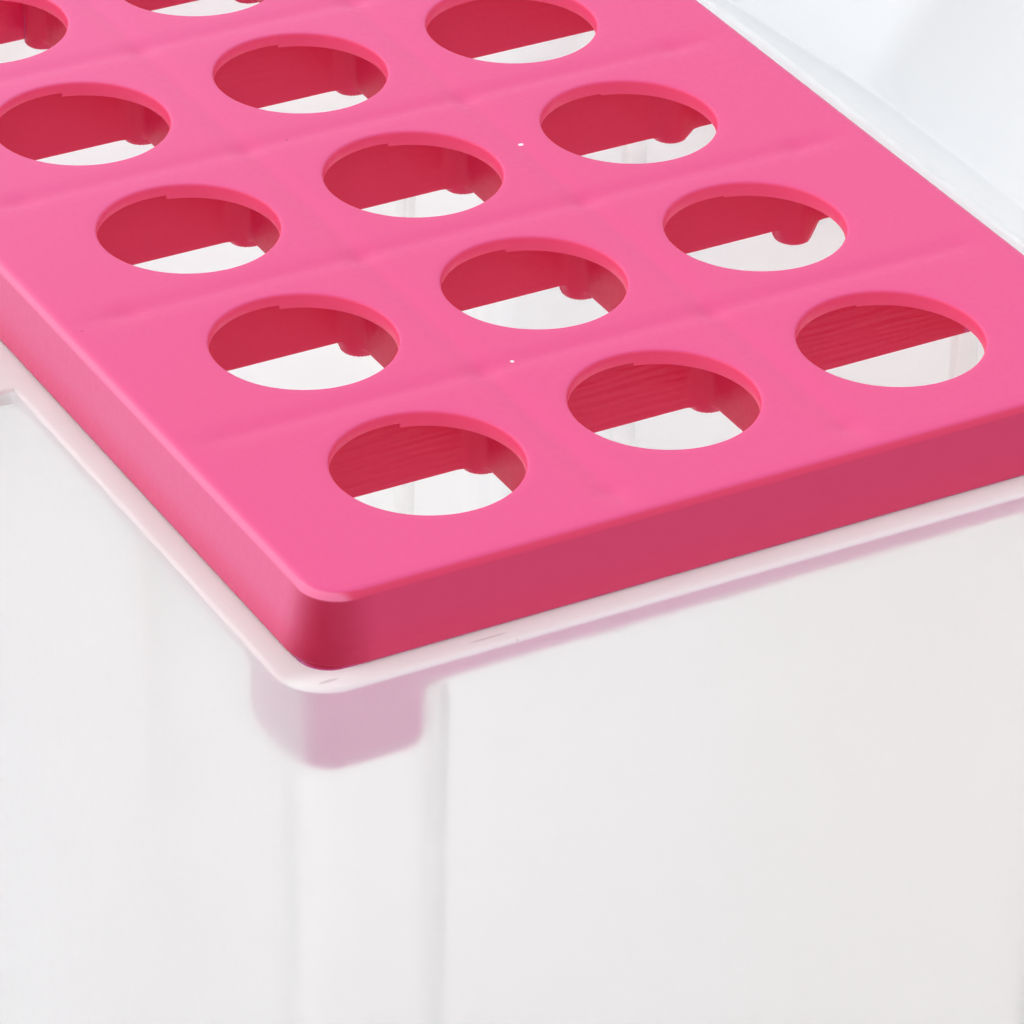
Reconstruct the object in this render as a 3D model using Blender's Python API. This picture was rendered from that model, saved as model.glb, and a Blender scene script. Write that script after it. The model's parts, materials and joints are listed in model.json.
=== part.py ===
"""Pipette tip rack: a translucent box, a moulded tip tray in its mouth, and a hinged lid, open.

Metres, +Z up. The origin is the middle of the box's underside. +X runs from the latch side to
the hinge side, and +Y along the long rows of holes.
"""
from math import cos, pi, radians, sin

import bmesh
import bpy
from mathutils import Matrix, Vector

MM = 0.001

# The pattern of holes for the tips
HOLE_PITCH = 22.0 * MM
COLUMNS = 3
ROWS = 5
HOLE_DIAMETER = 15.9 * MM

# The tip tray: a plate with a raised rim, ribs and bosses below, a skirt and four feet
LATCH_MARGIN = 16.95 * MM
HINGE_MARGIN = 18.05 * MM
END_MARGIN = 14.25 * MM
PLATE_THICKNESS = 1.4 * MM
TRAY_RISE = 6.0 * MM
TRAY_FLARE = 1.55 * MM
TRAY_EDGE_RADIUS = 1.0 * MM
TRAY_CORNER_RADIUS = 3.0 * MM
TRAY_WALL = 2.0 * MM
SKIRT_DEPTH = 3.8 * MM
CROSS_RIB_DEPTHS = (8.8 * MM, 7.9 * MM, 8.8 * MM, 8.8 * MM)
LONG_RIB_DEPTH = 8.3 * MM
RIB_THICKNESS = 1.3 * MM
BOSS_DIAMETER = 3.7 * MM
BOSS_DEPTH = 9.3 * MM
BOSS_EDGE_RADIUS = 0.5 * MM
SIDE_BOSS_OFFSET = 11.0 * MM
CORE_STEPS = (0.38 * MM, 0.28 * MM, 0.15 * MM)
CORE_STEP_OFFSET = 1.6 * MM
CORE_STEP_MARGIN = 1.2 * MM
FOOT_DEPTH = 9.5 * MM
FOOT_SPAN = 9.4 * MM
FOOT_END_RADIUS = 1.6 * MM

# The box
RIM_HEIGHT = 140.0 * MM
RIM_SHOW = 2.2 * MM
BOX_WALL = 2.6 * MM
BOX_FLOOR = 2.4 * MM
BOX_TAPER = 1.2 * MM
BOX_CORNER_RADIUS = 4.5 * MM
CAVITY_CORNER_RADIUS = 2.6 * MM
BOX_FOOT_RADIUS = 1.5 * MM
SEAT_RIB_THICKNESS = 1.3 * MM
SEAT_RIB_REACH = 2.2 * MM
END_SEAT_X = 29.7 * MM
SIDE_SEAT_Y = 29.0 * MM
LIP_WIDTH = 17.6 * MM
LIP_REACH = 4.0 * MM
LIP_THICKNESS = 1.6 * MM
LIP_CORNER_RADIUS = 2.5 * MM

# The lid
LID_HEIGHT = 42.0 * MM
LID_WALL = 1.8 * MM
LID_TOP = 2.0 * MM
LID_TAPER = 1.0 * MM
LID_EDGE_RADIUS = 4.0 * MM
LID_LIP_REACH = 6.0 * MM
LID_OPEN_ANGLE = radians(130.0)

# The hinge: pins moulded on the lid's arms turn in ears moulded on the box
HINGE_OFFSET = 3.2 * MM
HINGE_DROP = 7.0 * MM
HINGE_SPACING = 76.0 * MM
KNUCKLE_RADIUS = 2.5 * MM
KNUCKLE_LENGTH = 9.0 * MM
PIN_RADIUS = 1.2 * MM
EAR_RADIUS = 2.8 * MM
EAR_THICKNESS = 2.5 * MM
EAR_ROOT_DROP = 7.0 * MM
ARM_HEIGHT = 8.0 * MM
ARM_ROOT = 1.0 * MM
STOP_WIDTH = 2.4 * MM

# Clearances, and how finely round forms are divided
FIT_CLEARANCE = 0.3 * MM
SEAT_GAP = 0.08 * MM
ROOT = 0.5 * MM
LEAST_RADIUS = 0.5 * MM
CUT_PAST = 2.0 * MM
HOLE_SEGMENTS = 48
BOSS_SEGMENTS = 20
CORNER_STEPS = 6
EDGE_STEPS = 4
SMOOTH_ANGLE = radians(35.0)

# Where round forms begin and end, in degrees
SIDE_LEAN = 10.0
EAR_ARC = (-60.0, 90.0)
KNUCKLE_ARC = (35.0, -180.0)

# How the plastics look: colour, roughness and, where it lets light through, how solid it is
TRAY_PINK = (0.92, 0.14, 0.34)
TRAY_ROUGHNESS = 0.42
BOX_MILK = (0.84, 0.86, 0.88)
BOX_ROUGHNESS = 0.45
LID_MILK = (0.86, 0.88, 0.90)
LID_ROUGHNESS = 0.4
MILKY_ALPHA = 0.45

# Sizes that follow from the ones above
GRID_WIDTH = (COLUMNS - 1) * HOLE_PITCH
GRID_LENGTH = (ROWS - 1) * HOLE_PITCH
TRAY_WIDTH = LATCH_MARGIN + GRID_WIDTH + HINGE_MARGIN
TRAY_LENGTH = GRID_LENGTH + 2 * END_MARGIN
TRAY_TOP = RIM_HEIGHT + TRAY_RISE
BOX_WIDTH = TRAY_WIDTH + 2 * (TRAY_FLARE + RIM_SHOW)
BOX_LENGTH = TRAY_LENGTH + 2 * (TRAY_FLARE + RIM_SHOW)
CAVITY_WIDTH = BOX_WIDTH - 2 * BOX_WALL
CAVITY_LENGTH = BOX_LENGTH - 2 * BOX_WALL
SKIRT_OUTSET = TRAY_FLARE + RIM_SHOW - BOX_WALL - FIT_CLEARANCE
SKIRT_CORNER_RADIUS = CAVITY_CORNER_RADIUS - FIT_CLEARANCE
SEAT_HEIGHT = RIM_HEIGHT - SKIRT_DEPTH - FIT_CLEARANCE
HINGE_AXIS = Vector((BOX_WIDTH / 2 + HINGE_OFFSET, 0.0, RIM_HEIGHT - HINGE_DROP))


def clear_scene():
    """Remove whatever the file opened with."""
    for thing in list(bpy.data.objects):
        bpy.data.objects.remove(thing, do_unlink=True)


def material(name, colour, roughness, alpha=1.0):
    """A plain plastic with one colour."""
    made = bpy.data.materials.new(name)
    made.use_nodes = True
    shader = made.node_tree.nodes["Principled BSDF"]
    shader.inputs["Base Color"].default_value = (*colour, 1.0)
    shader.inputs["Roughness"].default_value = roughness
    shader.inputs["Metallic"].default_value = 0.0
    shader.inputs["Alpha"].default_value = alpha
    return made


def add_object(name, mesh, finish=None):
    """Link a mesh to the scene as an object, smooth where it is round."""
    mesh.shade_smooth()
    mesh.set_sharp_from_angle(angle=SMOOTH_ANGLE)
    thing = bpy.data.objects.new(name, mesh)
    bpy.context.scene.collection.objects.link(thing)
    if finish is not None:
        mesh.materials.append(finish)
    return thing


def finish_mesh(name, bm, finish=None):
    """Turn a bmesh into an object, with its faces pointing out."""
    bmesh.ops.recalc_face_normals(bm, faces=bm.faces)
    mesh = bpy.data.meshes.new(name)
    bm.to_mesh(mesh)
    bm.free()
    return add_object(name, mesh, finish)


def rounded_outline(width, length, radius, centre=(0.0, 0.0)):
    """The points of a rectangle with round corners, anticlockwise from its +X side."""
    points = []
    for corner, (sx, sy) in enumerate(((1, 1), (-1, 1), (-1, -1), (1, -1))):
        middle_x = centre[0] + sx * (width / 2 - radius)
        middle_y = centre[1] + sy * (length / 2 - radius)
        for step in range(CORNER_STEPS + 1):
            angle = pi / 2 * (corner + step / CORNER_STEPS)
            points.append((middle_x + radius * cos(angle), middle_y + radius * sin(angle)))
    return points


def quarter_round(radius, start, end):
    """Offsets along a quarter circle, as (across, up) pairs, between two angles in degrees."""
    steps = [start + (end - start) * step / EDGE_STEPS for step in range(EDGE_STEPS + 1)]
    return [(radius * cos(radians(a)), radius * sin(radians(a))) for a in steps]


def add_loft(bm, rings):
    """Join rings of points one after another and close both ends."""
    loops = [[bm.verts.new(point) for point in ring] for ring in rings]
    count = len(loops[0])
    for lower, upper in zip(loops, loops[1:]):
        for i in range(count):
            j = (i + 1) % count
            bm.faces.new((lower[i], lower[j], upper[j], upper[i]))
    bm.faces.new(list(reversed(loops[0])))
    bm.faces.new(loops[-1])


def lofted(name, rings, finish=None):
    """One closed solid through a list of rings."""
    bm = bmesh.new()
    add_loft(bm, rings)
    return finish_mesh(name, bm, finish)


def add_prism(bm, outline, low, high, axis="Z"):
    """A straight prism on an outline; on axis Y the outline is given as (x, z)."""
    if axis == "Z":
        ends = [[(x, y, level) for x, y in outline] for level in (low, high)]
    else:
        ends = [[(x, level, z) for x, z in outline] for level in (low, high)]
    add_loft(bm, ends)


def add_box(bm, low, high):
    """A plain block between two corners."""
    outline = [(low[0], low[1]), (high[0], low[1]), (high[0], high[1]), (low[0], high[1])]
    add_prism(bm, outline, low[2], high[2])


def add_cylinder(bm, centre, radius, length, segments, axis="Z"):
    """A cylinder about its centre, upright or along Y."""
    turn = Matrix.Identity(4) if axis == "Z" else Matrix.Rotation(pi / 2, 4, "X")
    bmesh.ops.create_cone(
        bm, cap_ends=True, segments=segments, radius1=radius, radius2=radius,
        depth=length, matrix=Matrix.Translation(centre) @ turn)


def combine(target, bm, name, operation):
    """Add a shape to a part, or cut it away, with an exact boolean."""
    tool = finish_mesh(name, bm)
    tool.hide_render = True
    tool.display_type = "WIRE"
    tool.parent = target.parent
    tool.location = target.location
    tool.rotation_euler = target.rotation_euler
    modifier = target.modifiers.new(name, "BOOLEAN")
    modifier.operation = operation
    modifier.solver = "EXACT"
    modifier.object = tool


def column_x(column):
    """Where a column of holes lies across the tray."""
    return LATCH_MARGIN - TRAY_WIDTH / 2 + column * HOLE_PITCH


def row_y(row):
    """Where a row of holes lies along the tray."""
    return (row - (ROWS - 1) / 2) * HOLE_PITCH


def tray_ring(outset, z, radius):
    """An outline of the tray, grown by an outset, at a height."""
    outline = rounded_outline(TRAY_WIDTH + 2 * outset, TRAY_LENGTH + 2 * outset, radius)
    return [(x, y, z) for x, y in outline]


def tray_shell(finish):
    """The plate, its leaning side, the shoulder that rests on the rim, and the skirt."""
    inner = SKIRT_OUTSET - TRAY_WALL
    inner_radius = max(SKIRT_CORNER_RADIUS - TRAY_WALL, LEAST_RADIUS)
    skirt_foot = RIM_HEIGHT - SKIRT_DEPTH
    shoulder = RIM_HEIGHT + SEAT_GAP
    rings = [
        tray_ring(inner, TRAY_TOP - PLATE_THICKNESS, inner_radius),
        tray_ring(inner, skirt_foot, inner_radius),
        tray_ring(SKIRT_OUTSET, skirt_foot, SKIRT_CORNER_RADIUS),
        tray_ring(SKIRT_OUTSET, shoulder, SKIRT_CORNER_RADIUS),
        tray_ring(TRAY_FLARE, shoulder, TRAY_CORNER_RADIUS + TRAY_EDGE_RADIUS),
    ]
    middle = -TRAY_EDGE_RADIUS / 2
    for across, up in quarter_round(TRAY_EDGE_RADIUS, SIDE_LEAN, 90.0):
        outset = middle + across
        z = TRAY_TOP - TRAY_EDGE_RADIUS + up
        rings.append(tray_ring(outset, z, TRAY_CORNER_RADIUS + outset))
    return lofted("tip_tray", rings, finish)


def add_cross_ribs(tray):
    """Ribs across the tray, half-way between the rows of holes."""
    bm = bmesh.new()
    reach = TRAY_WIDTH / 2 + SKIRT_OUTSET - TRAY_WALL / 2
    top = TRAY_TOP - PLATE_THICKNESS / 2
    for row in range(ROWS - 1):
        y = row_y(row + 0.5)
        depth = CROSS_RIB_DEPTHS[row % len(CROSS_RIB_DEPTHS)]
        low = (-reach, y - RIB_THICKNESS / 2, TRAY_TOP - depth)
        add_box(bm, low, (reach, y + RIB_THICKNESS / 2, top))
    combine(tray, bm, "cross_ribs", "UNION")


def add_long_ribs(tray):
    """Ribs along the tray, half-way between the columns of holes."""
    bm = bmesh.new()
    reach = TRAY_LENGTH / 2 + SKIRT_OUTSET - TRAY_WALL / 2
    top = TRAY_TOP - PLATE_THICKNESS / 2
    for column in range(COLUMNS - 1):
        x = column_x(column + 0.5)
        low = (x - RIB_THICKNESS / 2, -reach, TRAY_TOP - LONG_RIB_DEPTH)
        add_box(bm, low, (x + RIB_THICKNESS / 2, reach, top))
    combine(tray, bm, "long_ribs", "UNION")


def boss_places():
    """Where the round bosses stand: at the crossings, and on two ribs at the sides."""
    places = []
    for row in range(-1, ROWS):
        for column in range(COLUMNS - 1):
            places.append((column_x(column + 0.5), row_y(row + 0.5)))
    middle_ribs = [row for row in range(ROWS - 1) if 0 < row < ROWS - 2]
    for row in middle_ribs:
        places.append((column_x(0) - SIDE_BOSS_OFFSET, row_y(row + 0.5)))
        places.append((column_x(COLUMNS - 1) + SIDE_BOSS_OFFSET, row_y(row + 0.5)))
    return places


def add_bosses(tray):
    """Round bosses with soft lower edges, a little deeper than the ribs."""
    bm = bmesh.new()
    radius = BOSS_DIAMETER / 2
    limit = TRAY_LENGTH / 2 + SKIRT_OUTSET - TRAY_WALL - radius + ROOT
    for x, y in boss_places():
        y = max(-limit, min(limit, y))
        rings = []
        for across, up in quarter_round(BOSS_EDGE_RADIUS, -90.0, 0.0):
            reach = radius - BOSS_EDGE_RADIUS + across
            z = TRAY_TOP - BOSS_DEPTH + BOSS_EDGE_RADIUS + up
            rings.append(circle(x, y, reach, z))
        rings.append(circle(x, y, radius, TRAY_TOP - PLATE_THICKNESS / 2))
        add_loft(bm, rings)
    combine(tray, bm, "bosses", "UNION")


def circle(x, y, radius, z):
    """A ring of points round an upright axis."""
    angles = [2 * pi * step / BOSS_SEGMENTS for step in range(BOSS_SEGMENTS)]
    return [(x + radius * cos(a), y + radius * sin(a), z) for a in angles]


def foot_path():
    """The outside of one corner of the skirt as (x, y, normal) along its length."""
    half_x = TRAY_WIDTH / 2 + SKIRT_OUTSET
    half_y = TRAY_LENGTH / 2 + SKIRT_OUTSET
    radius = SKIRT_CORNER_RADIUS
    straight = FOOT_SPAN - radius
    path = []
    for step in range(EDGE_STEPS + 1):
        along = straight * (1 - step / EDGE_STEPS)
        path.append((half_x, half_y - radius - along, (1.0, 0.0)))
    for step in range(1, CORNER_STEPS):
        angle = pi / 2 * step / CORNER_STEPS
        normal = (cos(angle), sin(angle))
        path.append((half_x - radius + radius * normal[0],
                     half_y - radius + radius * normal[1], normal))
    for step in range(EDGE_STEPS + 1):
        along = straight * step / EDGE_STEPS
        path.append((half_x - radius - along, half_y, (0.0, 1.0)))
    return path


def foot_bottom(distance, length):
    """The height of a foot's lower edge, which rounds up at both of its ends."""
    inward = min(distance, length - distance)
    short = max(FOOT_END_RADIUS - inward, 0.0)
    rise = FOOT_END_RADIUS - (FOOT_END_RADIUS ** 2 - short ** 2) ** 0.5
    return RIM_HEIGHT - FOOT_DEPTH + rise


def add_feet(tray):
    """Four feet that carry the skirt's corners further down into the box."""
    path = foot_path()
    stations = [Vector(point[:2]) for point in path]
    distances = [0.0]
    for here, there in zip(stations, stations[1:]):
        distances.append(distances[-1] + (there - here).length)
    top = RIM_HEIGHT - SKIRT_DEPTH / 2
    bm = bmesh.new()
    for side_x in (-1, 1):
        for side_y in (-1, 1):
            rings = []
            for (x, y, normal), distance in zip(path, distances):
                inner_x = x - normal[0] * TRAY_WALL
                inner_y = y - normal[1] * TRAY_WALL
                low = foot_bottom(distance, distances[-1])
                corners = ((x, y, low), (x, y, top), (inner_x, inner_y, top), (inner_x, inner_y, low))
                rings.append([(side_x * a, side_y * b, c) for a, b, c in corners])
            add_loft(bm, rings)
    combine(tray, bm, "feet", "UNION")


def cut_holes(tray):
    """The holes for the tips, right through the plate."""
    bm = bmesh.new()
    middle = TRAY_TOP - PLATE_THICKNESS / 2
    for row in range(ROWS):
        for column in range(COLUMNS):
            centre = Vector((column_x(column), row_y(row), middle))
            length = PLATE_THICKNESS + 2 * CUT_PAST
            add_cylinder(bm, centre, HOLE_DIAMETER / 2, length, HOLE_SEGMENTS)
    combine(tray, bm, "tip_holes", "DIFFERENCE")


def cut_core_steps(tray):
    """Shallow steps under the plate, where the two halves of each mould core met."""
    bm = bmesh.new()
    reach = (HOLE_PITCH - RIB_THICKNESS) / 2 - CORE_STEP_MARGIN
    under = TRAY_TOP - PLATE_THICKNESS
    for row in range(ROWS):
        for column in range(COLUMNS):
            step = CORE_STEPS[column % len(CORE_STEPS)]
            x = column_x(column)
            y = row_y(row)
            low = (x - reach, y - reach, under - ROOT)
            add_box(bm, low, (x + CORE_STEP_OFFSET, y + reach, under + step))
    combine(tray, bm, "core_steps", "DIFFERENCE")


def build_tray(finish):
    """The moulded tip tray, in one piece."""
    tray = tray_shell(finish)
    add_cross_ribs(tray)
    add_long_ribs(tray)
    add_bosses(tray)
    add_feet(tray)
    cut_core_steps(tray)
    cut_holes(tray)
    return tray


def box_ring(width, length, inset, z, radius):
    """An outline of the box, drawn in by an inset, at a height."""
    outline = rounded_outline(width - 2 * inset, length - 2 * inset, max(radius, LEAST_RADIUS))
    return [(x, y, z) for x, y in outline]


def box_shell(finish):
    """The open box: its outside from the foot to the rim, then its inside down to the floor."""
    rings = []
    for across, up in quarter_round(BOX_FOOT_RADIUS, -90.0, 0.0):
        inset = BOX_TAPER + BOX_FOOT_RADIUS - across
        z = BOX_FOOT_RADIUS + up
        rings.append(box_ring(BOX_WIDTH, BOX_LENGTH, inset, z, BOX_CORNER_RADIUS - inset + BOX_TAPER))
    rings.append(box_ring(BOX_WIDTH, BOX_LENGTH, 0.0, RIM_HEIGHT, BOX_CORNER_RADIUS))
    rings.append(box_ring(CAVITY_WIDTH, CAVITY_LENGTH, 0.0, RIM_HEIGHT, CAVITY_CORNER_RADIUS))
    inner_fillet = BOX_FOOT_RADIUS
    for across, up in quarter_round(inner_fillet, 0.0, -90.0):
        inset = BOX_TAPER + inner_fillet - across
        z = BOX_FLOOR + inner_fillet + up
        rings.append(box_ring(CAVITY_WIDTH, CAVITY_LENGTH, inset, z, CAVITY_CORNER_RADIUS - inset))
    return lofted("box_base", rings, finish)


def seat_rib(place, half_span, across):
    """The ends of one upright rib, which leans with its wall and stops under the skirt."""
    rings = []
    for level, inset in ((BOX_FLOOR - ROOT, BOX_TAPER), (SEAT_HEIGHT, 0.0)):
        outer = half_span - inset - BOX_WALL / 2
        inner = outer - BOX_WALL / 2 - SEAT_RIB_REACH
        sides = (place - SEAT_RIB_THICKNESS / 2, place + SEAT_RIB_THICKNESS / 2)
        corners = [(sides[0], inner), (sides[1], inner), (sides[1], outer), (sides[0], outer)]
        rings.append([(a, b, level) if across else (b, a, level) for a, b in corners])
    return rings


def add_seat_ribs(box):
    """Pairs of ribs inside all four walls, which back up the tray's skirt."""
    bm = bmesh.new()
    for side in (-1, 1):
        for place in (-END_SEAT_X, END_SEAT_X):
            rings = seat_rib(place, BOX_LENGTH / 2, True)
            add_loft(bm, [[(x, side * y, z) for x, y, z in ring] for ring in rings])
        for place in (-SIDE_SEAT_Y, SIDE_SEAT_Y):
            rings = seat_rib(place, BOX_WIDTH / 2, False)
            add_loft(bm, [[(side * x, y, z) for x, y, z in ring] for ring in rings])
    combine(box, bm, "seat_ribs", "UNION")


def lip_outline(edge_x, reach, root):
    """A finger lip in plan, with round outer corners, on the side that faces -X."""
    half = LIP_WIDTH / 2
    far = edge_x - reach
    points = [(edge_x + root, -half), (edge_x + root, half)]
    for across, up in quarter_round(LIP_CORNER_RADIUS, 90.0, 180.0):
        points.append((far + LIP_CORNER_RADIUS + across, half - LIP_CORNER_RADIUS + up))
    for across, up in quarter_round(LIP_CORNER_RADIUS, 180.0, 270.0):
        points.append((far + LIP_CORNER_RADIUS + across, up + LIP_CORNER_RADIUS - half))
    return points


def arc_round(centre, radius, arc, steps):
    """Points along an arc between two angles in degrees, as (x, z) pairs."""
    start, end = arc
    angles = [radians(start + (end - start) * step / steps) for step in range(steps + 1)]
    return [(centre[0] + radius * cos(a), centre[1] + radius * sin(a)) for a in angles]


def ear_outline():
    """One hinge ear seen along Y: round about the axis, with a root that runs down the wall."""
    root = HINGE_AXIS.x - HINGE_OFFSET - BOX_WALL / 2
    axis = (HINGE_AXIS.x, HINGE_AXIS.z)
    points = [(root, axis[1] - EAR_ROOT_DROP)]
    points += arc_round(axis, EAR_RADIUS, EAR_ARC, 2 * CORNER_STEPS)
    points.append((root, axis[1] + EAR_RADIUS))
    return points


def add_box_fittings(box):
    """The finger lip on the latch side and the ears of both hinges."""
    bm = bmesh.new()
    add_prism(bm, lip_outline(-BOX_WIDTH / 2, LIP_REACH, BOX_WALL / 2),
              RIM_HEIGHT - LIP_THICKNESS, RIM_HEIGHT)
    inner = KNUCKLE_LENGTH / 2 + FIT_CLEARANCE
    for hinge in (-HINGE_SPACING / 2, HINGE_SPACING / 2):
        for side in (-1, 1):
            ends = sorted((hinge + side * inner, hinge + side * (inner + EAR_THICKNESS)))
            add_prism(bm, ear_outline(), ends[0], ends[1], "Y")
    combine(box, bm, "lip_and_ears", "UNION")
    bores = bmesh.new()
    for hinge in (-HINGE_SPACING / 2, HINGE_SPACING / 2):
        centre = HINGE_AXIS + Vector((0.0, hinge, 0.0))
        length = KNUCKLE_LENGTH + 2 * (FIT_CLEARANCE + EAR_THICKNESS + CUT_PAST)
        add_cylinder(bores, centre, PIN_RADIUS + FIT_CLEARANCE, length, BOSS_SEGMENTS, "Y")
    combine(box, bores, "hinge_bores", "DIFFERENCE")


def build_box(finish):
    """The deep box that stands on the bench."""
    box = box_shell(finish)
    add_seat_ribs(box)
    add_box_fittings(box)
    return box


def lid_ring(inset, z, wall, radius):
    """An outline of the closed lid about the hinge axis, drawn in by an inset and a wall."""
    centre = (-HINGE_AXIS.x, 0.0)
    shrink = 2 * (inset + wall)
    outline = rounded_outline(BOX_WIDTH - shrink, BOX_LENGTH - shrink, max(radius, LEAST_RADIUS), centre)
    return [(x, y, z) for x, y in outline]


def lid_shell(finish):
    """The lid as it lies when closed: its inside from the ceiling down, then its outside up."""
    foot = HINGE_DROP + FIT_CLEARANCE
    top = foot + LID_HEIGHT
    inner_round = LID_EDGE_RADIUS - LID_WALL
    rings = []
    for across, up in quarter_round(inner_round, 90.0, 0.0):
        inset = LID_TAPER + inner_round - across
        z = top - LID_TOP - inner_round + up
        rings.append(lid_ring(inset, z, LID_WALL, CAVITY_CORNER_RADIUS + LID_TAPER - inset))
    rings.append(lid_ring(0.0, foot, LID_WALL, CAVITY_CORNER_RADIUS))
    rings.append(lid_ring(0.0, foot, 0.0, BOX_CORNER_RADIUS))
    for across, up in quarter_round(LID_EDGE_RADIUS, 0.0, 90.0):
        inset = LID_TAPER + LID_EDGE_RADIUS - across
        z = top - LID_EDGE_RADIUS + up
        rings.append(lid_ring(inset, z, 0.0, BOX_CORNER_RADIUS + LID_TAPER - inset))
    return lofted("hinged_lid", rings, finish)


def arm_outline():
    """One hinge arm seen along Y: a knuckle that runs up the back of the lid."""
    foot = HINGE_DROP + FIT_CLEARANCE
    wall = -HINGE_OFFSET - ARM_ROOT
    points = [(-KNUCKLE_RADIUS, foot), (wall, foot), (wall, foot + ARM_HEIGHT)]
    points.append((wall + 2 * ARM_ROOT, foot + ARM_HEIGHT))
    return points + arc_round((0.0, 0.0), KNUCKLE_RADIUS, KNUCKLE_ARC, 3 * CORNER_STEPS)


def stop_outline():
    """The heel that meets the box's wall when the lid is right open."""
    away = LID_OPEN_ANGLE + pi
    along = Vector((cos(away), sin(away)))
    side = Vector((-along.y, along.x)) * STOP_WIDTH / 2
    near = along * (KNUCKLE_RADIUS - ROOT)
    far = along * (HINGE_OFFSET - FIT_CLEARANCE)
    return [tuple(near - side), tuple(far - side), tuple(far + side), tuple(near + side)]


def add_lid_fittings(lid):
    """The lid's finger lip, the arms with their stops, and the hinge pins."""
    foot = HINGE_DROP + FIT_CLEARANCE
    bm = bmesh.new()
    front = -HINGE_AXIS.x - BOX_WIDTH / 2
    add_prism(bm, lip_outline(front, LID_LIP_REACH, LID_WALL / 2), foot, foot + LIP_THICKNESS)
    for hinge in (-HINGE_SPACING / 2, HINGE_SPACING / 2):
        add_prism(bm, arm_outline(), hinge - KNUCKLE_LENGTH / 2, hinge + KNUCKLE_LENGTH / 2, "Y")
    combine(lid, bm, "lid_lip_and_arms", "UNION")
    stops = bmesh.new()
    pins = bmesh.new()
    for hinge in (-HINGE_SPACING / 2, HINGE_SPACING / 2):
        half = KNUCKLE_LENGTH / 2 - ROOT
        add_prism(stops, stop_outline(), hinge - half, hinge + half, "Y")
        length = KNUCKLE_LENGTH + 2 * (FIT_CLEARANCE + EAR_THICKNESS)
        add_cylinder(pins, Vector((0.0, hinge, 0.0)), PIN_RADIUS, length, BOSS_SEGMENTS, "Y")
    combine(lid, stops, "lid_stops", "UNION")
    combine(lid, pins, "hinge_pins", "UNION")


def build_lid(finish):
    """The lid, swung right open about the hinge axis."""
    lid = lid_shell(finish)
    lid.location = HINGE_AXIS
    lid.rotation_euler = (0.0, LID_OPEN_ANGLE, 0.0)
    add_lid_fittings(lid)
    return lid


def main():
    """Build the rack with its lid open."""
    clear_scene()
    build_tray(material("pink_tray_plastic", TRAY_PINK, TRAY_ROUGHNESS))
    build_box(material("milky_box_plastic", BOX_MILK, BOX_ROUGHNESS, MILKY_ALPHA))
    build_lid(material("milky_lid_plastic", LID_MILK, LID_ROUGHNESS, MILKY_ALPHA))


main()
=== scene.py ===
# %% [markdown]
# # A tip rack in pink and milk
# The rack is three mouldings: a pink tray with fifteen holes, a deep milky box that holds the tray
# in its mouth, and a milky lid that hangs open behind it. The construction model already fixes
# their sizes. This lesson makes their fine surfaces with numpy and their plastics with shader
# nodes, because close up the look comes from small radii, sink marks and light inside the wall.

# %% Load the frame
import json
from math import acos, atan2, cos, pi, radians, sin

import bmesh
import bpy
import numpy as np
from mathutils import Matrix, Vector


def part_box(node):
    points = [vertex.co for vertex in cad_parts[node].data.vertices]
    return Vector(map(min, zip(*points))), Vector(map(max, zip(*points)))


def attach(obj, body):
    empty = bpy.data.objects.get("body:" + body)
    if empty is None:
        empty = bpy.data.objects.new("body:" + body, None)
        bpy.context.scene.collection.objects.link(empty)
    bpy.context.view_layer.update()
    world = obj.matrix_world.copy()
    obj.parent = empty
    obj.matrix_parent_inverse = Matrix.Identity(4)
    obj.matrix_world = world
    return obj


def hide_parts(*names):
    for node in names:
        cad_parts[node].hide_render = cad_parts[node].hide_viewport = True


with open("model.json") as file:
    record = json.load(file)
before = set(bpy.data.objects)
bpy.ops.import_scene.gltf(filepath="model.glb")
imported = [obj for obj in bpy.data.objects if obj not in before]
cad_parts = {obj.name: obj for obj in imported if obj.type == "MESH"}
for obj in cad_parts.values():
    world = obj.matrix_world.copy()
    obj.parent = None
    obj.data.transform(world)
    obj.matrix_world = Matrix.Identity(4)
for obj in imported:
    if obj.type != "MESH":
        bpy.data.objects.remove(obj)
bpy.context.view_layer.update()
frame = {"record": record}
MM = 0.001

# %% [markdown]
# ## Sizes that the frame already knows
# A dressed piece has to lie exactly where its plain solid lies. So the sizes are read from the
# solids' boxes and from the record's own list of openings, and only what a box can't tell, such
# as a wall or a radius, is named here. Everything below is in millimetres until a mesh is made.

# %% Read the main sizes
def box_mm(node):
    """The two corners of a solid's box, in millimetres."""
    return [np.array(corner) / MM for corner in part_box(node)]


tray_high = box_mm("tip_tray")[1]
base_low, base_high = box_mm("box_base")
openings = frame["record"]["physics"]["openings"]
HOLES = np.array([np.mean(o["box_m"], axis=0)[:2] / MM for o in openings if "tip_hole" in o["name"]])
COLUMN_X = np.unique(HOLES[:, 0].round(4))
ROW_Y = np.unique(HOLES[:, 1].round(4))
CELLS = [(column, row) for column in range(len(COLUMN_X)) for row in range(len(ROW_Y))]
PITCH = COLUMN_X[1] - COLUMN_X[0]
HALF_PITCH = PITCH / 2
TRAY_TOP = tray_high[2]
RIM_HEIGHT = base_high[2]
print("columns", COLUMN_X, "rows", ROW_Y, "pitch", PITCH, "tray top", TRAY_TOP, "rim", RIM_HEIGHT)

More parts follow.
